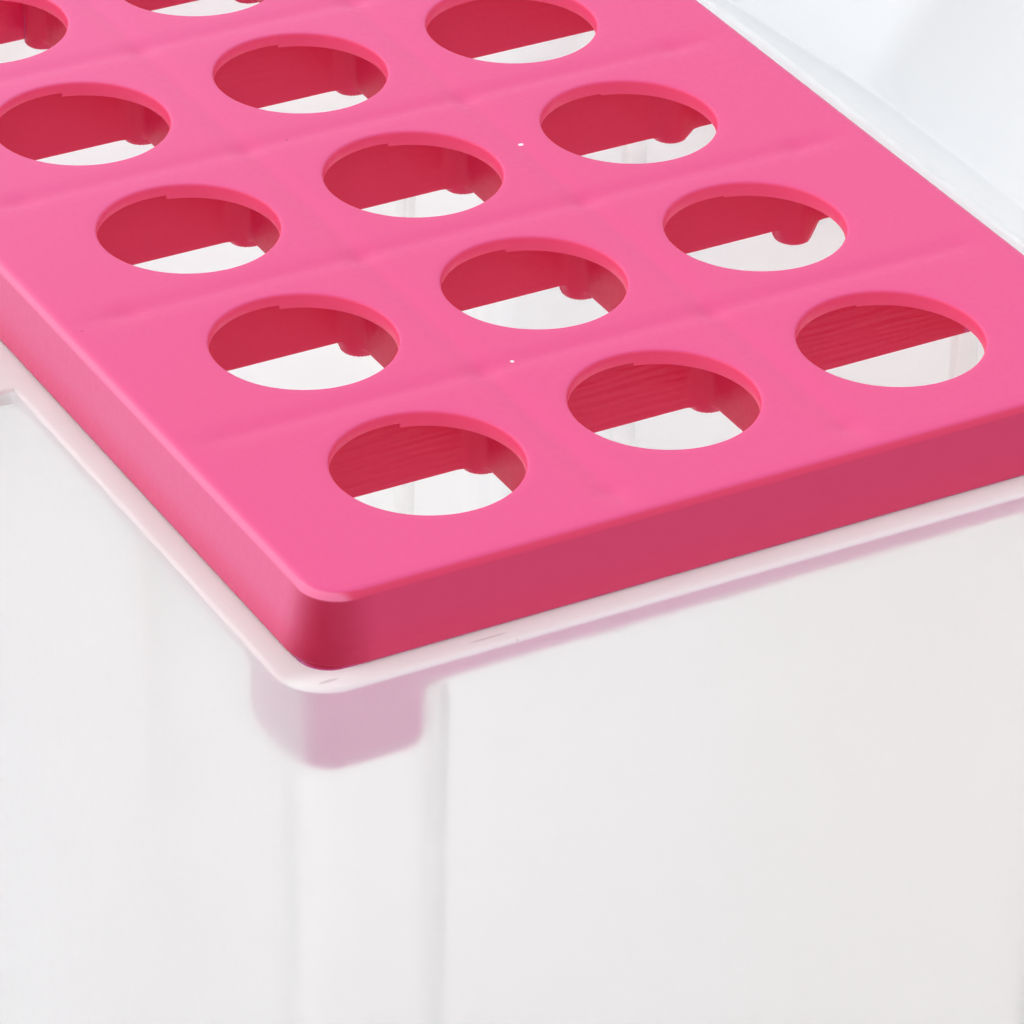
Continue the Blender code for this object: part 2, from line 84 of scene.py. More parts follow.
# %% Name the sizes that a box can't tell
HOLE_RADIUS = 7.95
HOLE_EDGE_RADIUS = 0.28
PLATE_THICKNESS = 1.4
TRAY_FLARE = 1.55
TRAY_EDGE_RADIUS = 1.0
TRAY_CORNER_RADIUS = 3.0
TRAY_WALL = 2.0
SKIRT_OUTSET = 0.85
SKIRT_DEPTH = 3.8
FOOT_DEPTH = 9.5
FOOT_SPAN = 9.4
FOOT_END_RADIUS = 1.6
SEAT_GAP = 0.08
PLATE_HALF = tray_high[:2] - TRAY_FLARE
HALF_WIDTH, HALF_LENGTH = PLATE_HALF
print("tray plate", 2 * HALF_WIDTH, "by", 2 * HALF_LENGTH)

# %% [markdown]
# ## Rings and grids
# Almost every surface here is a profile carried round an outline, so one ring of points follows
# another. numpy makes each set of rings as a single array. A mesh is a stack of such grids whose
# shared borders hold the same points: merging those points closes the skin.

# %% Grids of points become one closed mesh
WELD = 0.002 * MM
SMOOTH_ANGLE = radians(38)


class Skin:
    """Collects grids of points, in millimetres, and welds them into one closed mesh."""

    def __init__(self):
        self.points = []
        self.faces = []
        self.caps = []
        self.count = 0

    def grid(self, points, closed=True):
        """Quads between neighbouring rings: point (i, j) joins (i, j+1), (i+1, j+1) and (i+1, j)."""
        rings, around = points.shape[:2]
        index = np.arange(rings * around).reshape(rings, around) + self.count
        if closed:
            index = np.hstack((index, index[:, :1]))
        quads = np.stack((index[:-1, :-1], index[:-1, 1:], index[1:, 1:], index[1:, :-1]), axis=-1)
        self.points.append(points.reshape(-1, 3))
        self.faces.append(quads.reshape(-1, 4))
        self.count += rings * around

    def cap(self, ring):
        """One flat face on a ring of points."""
        self.caps.append(list(range(self.count, self.count + len(ring))))
        self.points.append(ring)
        self.count += len(ring)

    def finish(self, name, shape=None):
        """The object: points merged, empty faces dropped and faces turned outwards. A shape function
        may move the points first."""
        points = np.concatenate(self.points)
        if shape is not None:
            points = shape(points)
        mesh = bpy.data.meshes.new(name)
        mesh.from_pydata((points * MM).tolist(), [], np.concatenate(self.faces).tolist() + self.caps)
        bm = bmesh.new()
        bm.from_mesh(mesh)
        bmesh.ops.remove_doubles(bm, verts=bm.verts, dist=WELD)
        bmesh.ops.dissolve_degenerate(bm, edges=bm.edges, dist=WELD)
        bmesh.ops.recalc_face_normals(bm, faces=bm.faces)
        open_edges = sum(not edge.is_manifold for edge in bm.edges)
        bm.to_mesh(mesh)
        bm.free()
        print(name, len(mesh.polygons), "faces,", open_edges, "open edges")
        made = bpy.data.objects.new(name, mesh)
        bpy.context.scene.collection.objects.link(made)
        return made


def smooth(thing):
    """Shade round stretches smooth and keep true edges sharp."""
    thing.data.shade_smooth()
    thing.data.set_sharp_from_angle(angle=SMOOTH_ANGLE)


def join_solids(target, *tools, operation="UNION"):
    """Add closed solids to a piece, or cut them away, with exact booleans, and drop the tools."""
    for tool in tools:
        modifier = target.modifiers.new(tool.name, "BOOLEAN")
        modifier.operation = operation
        modifier.solver = "EXACT"
        modifier.object = tool
        evaluated = target.evaluated_get(bpy.context.evaluated_depsgraph_get())
        joined = bpy.data.meshes.new_from_object(evaluated)
        target.modifiers.clear()
        target.data = joined
        bpy.data.objects.remove(tool, do_unlink=True)
    print(target.name, len(target.data.polygons), "faces after the booleans")


# %% Rings and arcs
def stack(outlines, heights):
    """Lift flat outlines, as an array of rings, to one height or to a height for each ring."""
    level = np.broadcast_to(np.reshape(heights, (-1, 1)), outlines.shape[:2])
    return np.concatenate((outlines, level[..., None]), axis=-1)


def arc(radius, start, end, steps):
    """A quarter or other part of a circle, as two arrays: radius times cosine, radius times sine."""
    angle = np.radians(np.linspace(start, end, steps + 1))
    return radius * np.cos(angle), radius * np.sin(angle)


def arc_points(centre, radius, start, end, steps):
    """Points of a circle's arc about a centre, as (a, b) pairs."""
    across, up = arc(radius, start, end, steps)
    return np.stack((centre[0] + across, centre[1] + up), axis=-1)


# %% [markdown]
# ## Rays from a hole's centre
# The plate is flat but full of round holes, so an even grid would cut the holes into steps. A
# better grid sends rays out from each hole's centre. Each ray starts on the hole's circle and
# ends on the edge of that hole's own field, half-way to its neighbours. Neighbouring fields meet
# in the same points, because their rays mirror each other.

# %% Choose the rays
CORE_STEP_OFFSET = 1.6
CORE_STEP_BLEND = 0.03
RAY_STEP = 3.3
BOSS_SPREAD = 8.4
BOSS_RAYS = 15
EVEN_FROM = radians(9.0)
RAY_GAP = radians(0.3)
CREASE_INSET = TRAY_CORNER_RADIUS
plate_reach = PLATE_HALF - CREASE_INSET
LEFT_REACH = COLUMN_X[0] + plate_reach[0]
RIGHT_REACH = plate_reach[0] - COLUMN_X[-1]
END_REACH = plate_reach[1] - ROW_Y[-1]


def full_turn(quarter):
    """The rays of one quarter, mirrored into the other three."""
    turn = np.concatenate((quarter, pi - quarter, pi + quarter, 2 * pi - quarter)) % (2 * pi)
    return np.unique(turn.round(9))


def plate_rays():
    """Ray angles over a full turn: even steps, close ones past a boss, and one for every corner."""
    corners = [atan2(y, x) for x in (HALF_PITCH, LEFT_REACH, RIGHT_REACH) for y in (HALF_PITCH, END_REACH)]
    steps = [acos((CORE_STEP_OFFSET + blend) / HOLE_RADIUS) for blend in (-CORE_STEP_BLEND, CORE_STEP_BLEND)]
    fixed = np.array(corners + steps + [0.0, pi / 2])
    near_boss = pi / 4 + np.radians(np.linspace(-BOSS_SPREAD, BOSS_SPREAD, BOSS_RAYS))
    even = np.radians(np.arange(0.0, 90.1, RAY_STEP))
    free = np.concatenate((near_boss, even[abs(even - pi / 4) > EVEN_FROM]))
    free = free[np.min(abs(free[:, None] - fixed), axis=1) > RAY_GAP]
    return full_turn(np.unique(np.concatenate((fixed, free)).round(9)))


RAYS = plate_rays()
print(len(RAYS), "rays from each hole")


# %% Where each ray ends
FAR = 1e3


def has_neighbour(column, row):
    """Whether a hole has a neighbour on its right, back, left and front, with a rib between them."""
    return np.array([column < len(COLUMN_X) - 1, row < len(ROW_Y) - 1, column > 0, row > 0])


def side_distances(angle, reach):
    """How far a ray runs to each of four sides that lie reach away; a side behind it is far off."""
    facing = np.stack((np.cos(angle), np.sin(angle), -np.cos(angle), -np.sin(angle)))
    return np.where(facing > 1e-9, reach[:, None] / np.maximum(facing, 1e-9), FAR)


def field_edge(column, row):
    """How far each ray runs to the edge of a hole's field: the nearest of its four sides."""
    reach = np.where(has_neighbour(column, row), HALF_PITCH, (RIGHT_REACH, END_REACH, LEFT_REACH, END_REACH))
    return side_distances(RAYS, reach).min(axis=0)


# %% [markdown]
# ## Sink marks
# Where a rib or a boss stands under the plate, the plastic is thicker and shrinks more as it
# cools, so the top sinks by a few tenths of a millimetre. These are real dips in the surface, so
# the mesh has them too: a soft valley over every rib and a small dimple over every boss.

# %% Depth of the sink marks
VALLEY_DEPTH = 0.17
VALLEY_WIDTH = 0.8
DIMPLE_DEPTH = 0.18
DIMPLE_WIDTH = 0.8
SINK_MARGIN = 1.0
SINK_FADE = 3.0
LONG_RIB_X = (COLUMN_X[:-1] + COLUMN_X[1:]) / 2
CROSS_RIB_Y = (ROW_Y[:-1] + ROW_Y[1:]) / 2


def boss_places():
    """Every boss as (x, y): the crossings, both ends of the long ribs, and the sides of two ribs."""
    ends = (ROW_Y[0] - HALF_PITCH, ROW_Y[-1] + HALF_PITCH)
    crossings = [(x, y) for x in LONG_RIB_X for y in (*CROSS_RIB_Y, *ends)]
    outer_x = (COLUMN_X[0] - HALF_PITCH, COLUMN_X[-1] + HALF_PITCH)
    return np.array(crossings + [(x, y) for x in outer_x for y in CROSS_RIB_Y[1:-1]])


def bell(distance, width):
    """A bell curve: e to the power of minus half the square of distance over width."""
    return np.exp(-0.5 * (distance / width) ** 2)


def sink(x, y):
    """Depth of the dips: a bell curve across each rib and one round each boss, fading at the edge."""
    inset = PLATE_HALF[:, None] - abs(np.stack((x, y))) - SINK_MARGIN
    fade = np.clip(inset / SINK_FADE, 0, 1).prod(axis=0)
    valleys = sum(bell(x - rib, VALLEY_WIDTH) for rib in LONG_RIB_X)
    valleys = valleys + sum(bell(y - rib, VALLEY_WIDTH) for rib in CROSS_RIB_Y)
    dimples = sum(bell(np.hypot(x - bx, y - by), DIMPLE_WIDTH) for bx, by in BOSSES)
    return fade * (VALLEY_DEPTH * valleys + DIMPLE_DEPTH * dimples)


BOSSES = boss_places()
print(len(BOSSES), "bosses, deepest sink mark", float(sink(*BOSSES.T).max()), "mm")

# %% [markdown]
# ## The tray's plate and leaning side
# The cap of the tray is one closed solid: fields round the holes on top, the same fields below,
# short round-edged walls between them, and a border that rolls over the edge, leans down to the
# shoulder and comes back up inside. The border is a profile carried round a rectangle, and a
# corner of that rectangle is repeated with turning directions, which makes the round corner.

# %% Fields above and below, and the hole walls between them
TOP_SHARES = np.linspace(0, 1, 11) ** 0.9
UNDER_SHARES = np.array([0.0, 0.45, 1.0])
CORE_STEPS = (0.38, 0.28, 0.15)
HOLE_EDGE_STEPS = 4
LOWER_EDGE = 0.1
UNDER = TRAY_TOP - PLATE_THICKNESS


def field_rings(column, row, start, shares):
    """Rings of one field: each ray is divided by the same shares from a circle to the field's edge."""
    far = field_edge(column, row)
    reach = start + shares[:, None] * (far - start)
    return np.stack((COLUMN_X[column] + reach * np.cos(RAYS), ROW_Y[row] + reach * np.sin(RAYS)), axis=-1)


def hole_wall(column, row):
    """A hole's wall, downwards: a quarter circle, a straight drop, and a small quarter circle. The
    last is higher on one side, where the moulding's core thinned the plate."""
    across, up = arc(HOLE_EDGE_RADIUS, 90, 180, HOLE_EDGE_STEPS)
    below, down = arc(LOWER_EDGE, 180, 270, 2)
    thinned = np.where(HOLE_RADIUS * np.cos(RAYS) < CORE_STEP_OFFSET, CORE_STEPS[column], 0.0)
    radii = HOLE_RADIUS + np.concatenate((HOLE_EDGE_RADIUS + across, LOWER_EDGE + below))[:, None]
    top_part = np.repeat((TRAY_TOP - HOLE_EDGE_RADIUS + up)[:, None], len(RAYS), axis=1)
    z = np.vstack((top_part, UNDER + thinned + LOWER_EDGE + down[:, None]))
    x = COLUMN_X[column] + radii * np.cos(RAYS)
    y = ROW_Y[row] + radii * np.sin(RAYS)
    return np.stack((x, y, z), axis=-1), thinned


def add_field(skin, column, row):
    """One hole: its field on top, its wall, and its field underneath, which is thinner on one side."""
    wall, thinned = hole_wall(column, row)
    under = stack(field_rings(column, row, HOLE_RADIUS + LOWER_EDGE, UNDER_SHARES), UNDER)
    under[:-1, :, 2] += thinned
    skin.grid(stack(field_rings(column, row, HOLE_RADIUS + HOLE_EDGE_RADIUS, TOP_SHARES), TRAY_TOP))
    skin.grid(wall)
    skin.grid(under)


# %% [markdown]
# ## A profile carried round a rectangle
# The border, the skirt, the box and the lid are all the same idea: an outline of base points,
# each with an outward direction, and a profile that says how far out and how high each ring
# lies. Where a corner's base point repeats with turning directions, the ring is round there.

# %% The outline with round corners
CORNER_STEPS = 12
SIDES = np.array([(1, 0), (0, 1), (-1, 0), (0, -1)], float)
SAME_PLACE = 1e-4


def outline(half_x, half_y, along):
    """Base points and outward directions round a rectangle, anticlockwise from its right side.
    along[k] holds the places along side k, and each corner repeats while its direction turns."""
    base, out = [], []
    for normal, places, reach, limit in zip(SIDES, along, (half_x, half_y) * 2, (half_y, half_x) * 2):
        tangent = np.array([-normal[1], normal[0]])
        angle = np.concatenate((np.zeros(len(places)), np.linspace(0, pi / 2, CORNER_STEPS + 1)))
        places = np.concatenate((places, np.full(CORNER_STEPS + 1, limit)))
        base.append(normal * reach + places[:, None] * tangent)
        out.append(np.cos(angle)[:, None] * normal + np.sin(angle)[:, None] * tangent)
    return np.concatenate(base), np.concatenate(out)


def carried(base, out, profile):
    """Rings of points: ring i lies profile[i][0] outwards from the base, at height profile[i][1]."""
    offset, height = profile.T
    return stack(base + offset[:, None, None] * out, height)


def plate_sides():
    """Where the rays of the outer fields meet the plate's four sides, in order along each side."""
    ends = np.concatenate([field_rings(*cell, 0.0, np.ones(1))[0] for cell in CELLS])
    sides = []
    for normal, reach, limit in zip(SIDES, np.tile(plate_reach, 2), np.tile(plate_reach[::-1], 2)):
        on_side = abs(ends @ normal - reach) < SAME_PLACE
        places = np.unique((ends[on_side] @ (-normal[1], normal[0])).round(6))
        sides.append(places[abs(places) < limit - SAME_PLACE])
    return sides


# %% The cap: plate, rolled edge, leaning side, shoulder
SHOULDER = RIM_HEIGHT + SEAT_GAP
SHOULDER_EDGE = 0.22
LEAN_RINGS = 4


def cap_profile():
    """Out and height, from the plate's edge on top, over the rolled edge, down the leaning side, in
    under the shoulder, up inside the wall and back under the plate."""
    flat = CREASE_INSET - TRAY_EDGE_RADIUS / 2
    lean = np.degrees(atan2(TRAY_FLARE - TRAY_EDGE_RADIUS / 2, TRAY_TOP - SHOULDER - TRAY_EDGE_RADIUS))
    rolled = arc_points((flat, TRAY_TOP - TRAY_EDGE_RADIUS), TRAY_EDGE_RADIUS, 90, lean, 8)
    foot = (CREASE_INSET + TRAY_FLARE, SHOULDER + SHOULDER_EDGE)
    leaning = np.linspace(rolled[-1], foot, LEAN_RINGS + 1)[1:]
    lower = arc_points((foot[0] - SHOULDER_EDGE, foot[1]), SHOULDER_EDGE, 0, -90, 3)[1:]
    inside = CREASE_INSET + SKIRT_OUTSET - TRAY_WALL
    above = [(0.0, TRAY_TOP), (flat / 2, TRAY_TOP)]
    below = [(inside, SHOULDER), (inside, UNDER), (0.0, UNDER)]
    return np.concatenate((above, rolled, leaning, lower, below))


def settle(points):
    """Lower the top skin by the sink marks, and leave the rest."""
    on_top = points[:, 2] > TRAY_TOP - TRAY_EDGE_RADIUS
    points[on_top, 2] -= sink(points[on_top, 0], points[on_top, 1])
    return points


def tray_cap():
    """The closed cap of the tray."""
    skin = Skin()
    for cell in CELLS:
        add_field(skin, *cell)
    base, out = outline(*plate_reach, plate_sides())
    skin.grid(carried(base, out, cap_profile()))
    return skin.finish("tray_moulding", settle)


tray = tray_cap()

# %% [markdown]
# ## The skirt and its feet
# The skirt hangs inside the box's mouth, and at each corner it runs down into a foot with
# rounded lower ends. Its lower edge is a path along the wall that dips into the feet. The edge's
# rounding follows that path: each ring is the path moved back along its own normal.

# %% Carry a rounded edge along the skirt's path
SKIRT_CORNER_RADIUS = 2.3
SKIRT_WALL = TRAY_WALL - 0.03
SKIRT_TOP = SHOULDER + 0.25
SKIRT_EDGE = 0.45
SKIRT_STEPS = 6
INNER_CORNER_FILLET = 0.8
SKIRT_LOW = RIM_HEIGHT - SKIRT_DEPTH
FOOT_LOW = RIM_HEIGHT - FOOT_DEPTH


def foot_half(limit):
    """The lower edge from a corner to the middle of a side, as rows of distance from the corner,
    height, and the edge's normal along and up. It runs flat, round a quarter circle and into the skirt."""
    radius, fillet = FOOT_END_RADIUS, INNER_CORNER_FILLET
    end = FOOT_SPAN - SKIRT_CORNER_RADIUS
    path = np.concatenate((np.linspace((0, FOOT_LOW), (end - radius, FOOT_LOW), 4)[1:-1],
                           arc_points((end - radius, FOOT_LOW + radius), radius, -90, 0, 6),
                           arc_points((end + fillet, SKIRT_LOW - fillet), fillet, 180, 90, 4),
                           np.linspace((end + 2 * fillet, SKIRT_LOW), (limit, SKIRT_LOW), SKIRT_STEPS)))
    level = np.full(SKIRT_STEPS, -90.0)
    angle = np.radians(np.concatenate((level[:2], np.linspace(-90, 0, 7), np.linspace(0, -90, 5), level)))
    return np.column_stack((path, np.cos(angle), np.sin(angle)))


def skirt_path(half):
    """The whole lower edge: places along each side, and the heights and normals, corners included."""
    along, rows = [], []
    for limit in np.tile(half[::-1], 2):
        first = foot_half(limit) - (limit, 0, 0, 0)
        side = np.concatenate((first, first[-2::-1] * (-1, 1, -1, 1)))
        along.append(side[:, 0])
        rows += [side[:, 1:], np.tile((FOOT_LOW, 0.0, -1.0), (CORNER_STEPS + 1, 1))]
    return along, *np.concatenate(rows).T


def tray_skirt():
    """The skirt as one closed ring: down the outside, round the lower edge, up the inside."""
    half = PLATE_HALF + SKIRT_OUTSET - SKIRT_CORNER_RADIUS
    along, height, n_along, n_up = skirt_path(half)
    base, out = outline(*half, along)
    tangent = np.stack((-out[:, 1], out[:, 0]), axis=-1)
    inner = SKIRT_CORNER_RADIUS - SKIRT_WALL
    across, up = arc(SKIRT_EDGE, 0, 90, 4)
    offsets = np.concatenate((SKIRT_CORNER_RADIUS - SKIRT_EDGE + across, inner + SKIRT_EDGE - across[::-1]))
    backs = np.concatenate((SKIRT_EDGE - up, SKIRT_EDGE - up[::-1]))[:, None]
    flat = base + offsets[:, None, None] * out - (backs * n_along)[..., None] * tangent
    rings = np.concatenate((flat, (height - backs * n_up)[..., None]), axis=-1)
    top = rings[[0, -1]].copy()
    top[..., 2] = SKIRT_TOP
    skin = Skin()
    skin.grid(np.concatenate((top[:1], rings, top[1:], top[:1])))
    return skin.finish("tray_skirt")


# %% [markdown]
# ## Ribs and bosses in one piece
# Under the plate, ribs run between the holes, and a round boss stands where they cross. In the
# moulding they flow into each other, so a rib that is simply a box would look wrong through the
# hole. Here a point belongs to a pocket if it is outside the ribs and the bosses, and a smooth
# minimum of those distances rounds the corner between them. Each ray finds that wall by halving.

# %% Sizes of the ribs, and their rays
RIB_HALF = 0.65
RIB_EDGE = 0.25
CROSS_RIB_DEPTHS = (8.8, 7.9, 8.8, 8.8)
LONG_RIB_DEPTH = 8.3
BOSS_RADIUS = 1.85
BOSS_DEPTH = 9.3
BOSS_EDGE = 0.5
BOSS_FALL = 4.0
FILLET = 1.0
RIB_HOLD = 0.35
RIB_TOP = TRAY_TOP - PLATE_THICKNESS / 2
WALL_SHARES = np.array([0.0, 0.3, 0.6, 0.8, 0.93])[:, None]
BAND_SHARES = np.array([0.0, 0.04, 0.12, 0.25, 0.45, 0.7, 1.0])[:, None]
RIB_RAY_STEP = 4.0
HALVINGS = 40


def rib_rays():
    """Rays for the ribs: close together where they meet a boss, wider elsewhere, mirrored all round."""
    boss = 45 + np.concatenate((np.linspace(-8, -5, 4), np.linspace(-4.5, 4.5, 19), np.linspace(5, 8, 4)))
    even = np.arange(0.0, 90.1, RIB_RAY_STEP)
    return full_turn(np.radians(np.unique(np.concatenate((boss, even[abs(even - 45) > 9])))))


RIB_RAYS = rib_rays()
print(len(RIB_RAYS), "rays to the ribs round a hole")


# %% Find the pocket's wall along every ray
def blend_least(a, b, size):
    """The smaller of two distances, with the crossing rounded over a given size."""
    share = np.clip(0.5 + 0.5 * (b - a) / size, 0, 1)
    return b + (a - b) * share - size * share * (1 - share)


def pocket_wall(angle, ribs, bosses):
    """The distance along each ray at which the smooth minimum of all the distances is zero."""
    low, high = np.zeros_like(angle), side_distances(angle, np.where(ribs, HALF_PITCH, FAR)).min(axis=0)
    for _ in range(HALVINGS):
        middle = (low + high) / 2
        x, y = middle * np.cos(angle), middle * np.sin(angle)
        room = np.full_like(angle, FAR)
        for place, rib in zip((x, y, -x, -y), ribs):
            if rib:
                room = np.minimum(room, HALF_PITCH - RIB_HALF - place)
        for bx, by in bosses:
            room = blend_least(room, np.hypot(x - bx, y - by) - BOSS_RADIUS, FILLET)
        low, high = np.where(room > 0, middle, low), np.where(room > 0, high, middle)
    return low


def kept_rays(column, row, ribs):
    """The rays that meet a rib, in order, with the two that end just inside the outer wall."""
    if ribs.all():
        return RIB_RAYS
    wall = PLATE_HALF + SKIRT_OUTSET - TRAY_WALL + RIB_HOLD
    centre = np.array([COLUMN_X[column], ROW_Y[row]])
    holds = np.concatenate((wall - centre, wall + centre))
    right, back, left, front = np.where(ribs, HALF_PITCH - RIB_HALF, holds)
    corners = [atan2(back, right), atan2(back, -left), atan2(-front, -left), atan2(-front, right)]
    last = next(i for i in range(4) if not ribs[i] and ribs[(i + 1) % 4])
    first = next(i for i in range(4) if not ribs[i] and ribs[i - 1])
    start, end = corners[last], corners[first - 1]
    turned = (RIB_RAYS - start) % (2 * pi)
    span = (end - start) % (2 * pi)
    inside = np.sort(turned[(turned > 1e-3) & (turned < span - 1e-3)])
    return start + np.concatenate(([0.0], inside, [span]))


# %% Shape the ribs' lower edges and close them
def rounded_off(depth, radius, share):
    """A depth that rises by a quarter circle's height as the share goes from 0 to 1."""
    return depth - radius * (1 - np.sqrt(1 - np.clip(share, 0, 1) ** 2))


def low_edge(x, y, from_face, rib_depth, bosses):
    """Depth of the underside: the rib's own, rounded at its edge, or a boss's where that is deeper."""
    depth = rounded_off(rib_depth, RIB_EDGE, 1 - from_face / RIB_EDGE)
    for bx, by in bosses:
        past = np.hypot(x - bx, y - by) - BOSS_RADIUS
        boss = rounded_off(BOSS_DEPTH, BOSS_EDGE, 1 + past / BOSS_EDGE)
        depth = np.maximum(depth, boss - BOSS_FALL * np.maximum(past, 0))
    return depth


def add_pocket(skin, column, row):
    """The ribs' half round one hole: walls down, rounded lower edge, in to the ribs' centre lines."""
    centre = np.array([COLUMN_X[column], ROW_Y[row]])
    bosses = BOSSES - centre
    bosses = bosses[np.hypot(*bosses.T) < PITCH]
    ribs = has_neighbour(column, row)
    angle = kept_rays(column, row, ribs)
    face = pocket_wall(angle, ribs, bosses)
    to_sides = side_distances(angle, np.where(ribs, HALF_PITCH, FAR))
    back, front = CROSS_RIB_DEPTHS[min(row, 3)], CROSS_RIB_DEPTHS[row - 1]
    depths = np.array([LONG_RIB_DEPTH, back, LONG_RIB_DEPTH, front])
    reach = face + BAND_SHARES * (to_sides.min(axis=0) - face)
    x, y = reach * np.cos(angle), reach * np.sin(angle)
    z = TRAY_TOP - low_edge(x, y, RIB_HALF * BAND_SHARES, depths[to_sides.argmin(axis=0)], bosses)
    wall_z = RIB_TOP + WALL_SHARES * (z[0] - RIB_TOP)
    wall = np.stack(np.broadcast_arrays(x[0], y[0], wall_z), axis=-1)
    strip = np.concatenate((wall, np.stack((x, y, z), axis=-1)))
    roof = np.stack((x[-1:], y[-1:], np.full_like(x[-1:], RIB_TOP)), axis=-1)
    for points in (strip, roof):
        points[..., :2] += centre
    closed = bool(ribs.all())
    skin.grid(strip, closed)
    skin.grid(np.concatenate((strip[:1], roof)), closed)
    if not closed:
        for end in (0, -1):
            skin.cap(np.concatenate((strip[:, end], roof[:, end])))


def rib_network():
    """All the ribs and bosses as one closed solid."""
    skin = Skin()
    for cell in CELLS:
        add_pocket(skin, *cell)
    return skin.finish("tray_ribs")


# %% Join the cap, the skirt and the ribs
join_solids(tray, tray_skirt(), rib_network())
smooth(tray)

# %% [markdown]
# ## The deep box
# The box is one shell: its outside runs from the foot to the rim, over two small rounded edges,
# and down the inside to the floor. The walls lean a little, as a moulding's must to leave its
# mould. Both skins are profiles carried round an outline, but the inner one has tighter corners.

# %% Name the box's sizes
LIP_REACH = 4.0
BOX_HALF = np.array([-base_low[0] - LIP_REACH, base_high[1]])
BOX_HALF_X, BOX_HALF_Y = BOX_HALF
BOX_WALL = 2.6
BOX_FLOOR = 2.4
BOX_TAPER = 1.2
BOX_CORNER_RADIUS = 4.5
CAVITY_CORNER_RADIUS = 2.6
BOX_FOOT_RADIUS = 1.5
RIM_OUTER_EDGE = 0.4
RIM_INNER_EDGE = 0.3
SIDE_POINTS = 48
WALL_RINGS = 12
print("box", 2 * BOX_HALF_X, "by", 2 * BOX_HALF_Y)


# %% Walls that lean
def leaning_rings(half, radius, profile, drawn_in):
    """A profile of (out, height) pairs carried round a rectangle with round corners. Each ring's
    rectangle is smaller on every side by what the wall is drawn in at the ring's height."""
    core = half - radius
    share = np.linspace(-1, 1, SIDE_POINTS + 2)[1:-1]
    base, out = outline(*core, [share * limit for limit in np.tile(core[::-1], 2)])
    offset, level = profile.T
    shrink = 1 - drawn_in(level)[:, None] / core
    return stack(base * shrink[:, None, :] + (radius + offset)[:, None, None] * out, level)


def straight(start, end, rings):
    """The part of a profile that follows the wall: out 0 at even heights, without the first."""
    level = np.linspace(start, end, rings)[1:]
    return np.stack((np.zeros_like(level), level), axis=-1)


def shell(name, first, second):
    """One closed skin from two sets of rings, with a flat face on the first ring and on the last."""
    skin = Skin()
    skin.grid(np.concatenate((first, second)))
    skin.cap(first[0])
    skin.cap(second[-1])
    return skin.finish(name)


def box_draw(level):
    """How far the box's wall is drawn in at a height: 0 at the rim and the whole taper at the foot."""
    return BOX_TAPER * ((RIM_HEIGHT - level) / RIM_HEIGHT)


def box_skin():
    """The shell of the box, closed at the floor inside and out."""
    radius, low = BOX_FOOT_RADIUS, BOX_FLOOR + BOX_FOOT_RADIUS
    outer_top, inner_top = RIM_HEIGHT - RIM_OUTER_EDGE, RIM_HEIGHT - RIM_INNER_EDGE
    outside = np.concatenate((arc_points((-radius, radius), radius, -90, 0, 6),
                              straight(radius, outer_top, WALL_RINGS),
                              arc_points((-RIM_OUTER_EDGE, outer_top), RIM_OUTER_EDGE, 0, 90, 4)[1:]))
    inside = np.concatenate((arc_points((RIM_INNER_EDGE, inner_top), RIM_INNER_EDGE, 90, 180, 4),
                             straight(inner_top, low, WALL_RINGS),
                             arc_points((-radius, low), radius, 0, -90, 6)[1:]))
    outer = leaning_rings(BOX_HALF, BOX_CORNER_RADIUS, outside, box_draw)
    inner = leaning_rings(BOX_HALF - BOX_WALL, CAVITY_CORNER_RADIUS, inside, box_draw)
    return shell("box_moulding", outer, inner)


box = box_skin()

# %% [markdown]
# ## Small solids for ribs, lips and ears
# A rib, a lip or an ear is a flat outline given a depth, with its edges taken off. bmesh makes it:
# two rings of points are bridged, both ends are filled, and the end edges get a small bevel.
# An exact boolean then joins it to its wall.

# %% A flat outline becomes a solid with soft edges
BEVEL_STEPS = 3


def prism(name, ring, low, high, axis="Z", edge=0.0):
    """A solid on an outline of (a, b) pairs. On axis Z those are (x, y); on axis Y they are (x, z)."""
    ring = np.asarray(ring, float)
    ends = stack(np.stack((ring, ring)), (low, high))
    if axis == "Y":
        ends = ends[..., [0, 2, 1]]
    made = shell(name, ends[:1], ends[1:])
    if edge:
        soften_ends(made.data, "XYZ".index(axis), (low, high), edge)
    return made


def soften_ends(mesh, axis, levels, edge):
    """Bevel the edges round both ends of a prism."""
    bm = bmesh.new()
    bm.from_mesh(mesh)
    ends = [e for e in bm.edges for level in levels
            if all(abs(vert.co[axis] - level * MM) < WELD for vert in e.verts)]
    bmesh.ops.bevel(bm, geom=ends, offset=edge * MM, segments=BEVEL_STEPS, affect="EDGES", profile=0.5)
    bm.to_mesh(mesh)
    bm.free()


# %% Eight ribs inside the walls
SEAT_RIB_THICKNESS = 1.3
SEAT_RIB_REACH = 2.2
SEAT_RIB_TOP = RIM_HEIGHT - SKIRT_DEPTH - 0.3
SEAT_RIB_EDGE = 0.2
SEAT_RIB_CORNER = 0.3
SEAT_RIB_ROOT = 0.5
END_SEAT_X = 29.7
SIDE_SEAT_Y = 29.0


def seat_rib(place, half_span, across):
    """One upright rib, rooted in its wall and leaning with it."""
    depth = SEAT_RIB_REACH + BOX_WALL / 2
    centre = np.array([place, half_span - BOX_WALL / 2 - depth / 2])
    half = np.array([SEAT_RIB_THICKNESS, depth]) / 2
    if not across:
        centre, half = centre[::-1], half[::-1]
    base, out = outline(*(half - SEAT_RIB_CORNER), [np.zeros(1)] * 4)
    ring = centre + base + SEAT_RIB_CORNER * out
    rib = prism("seat_rib", ring, BOX_FLOOR - SEAT_RIB_ROOT, SEAT_RIB_TOP, edge=SEAT_RIB_EDGE)
    points = np.empty((len(rib.data.vertices), 3), np.float32)
    rib.data.vertices.foreach_get("co", points.ravel())
    points[:, 1 if across else 0] -= MM * box_draw(points[:, 2] / MM)
    rib.data.vertices.foreach_set("co", points.ravel())
    rib.data.update()
    return rib


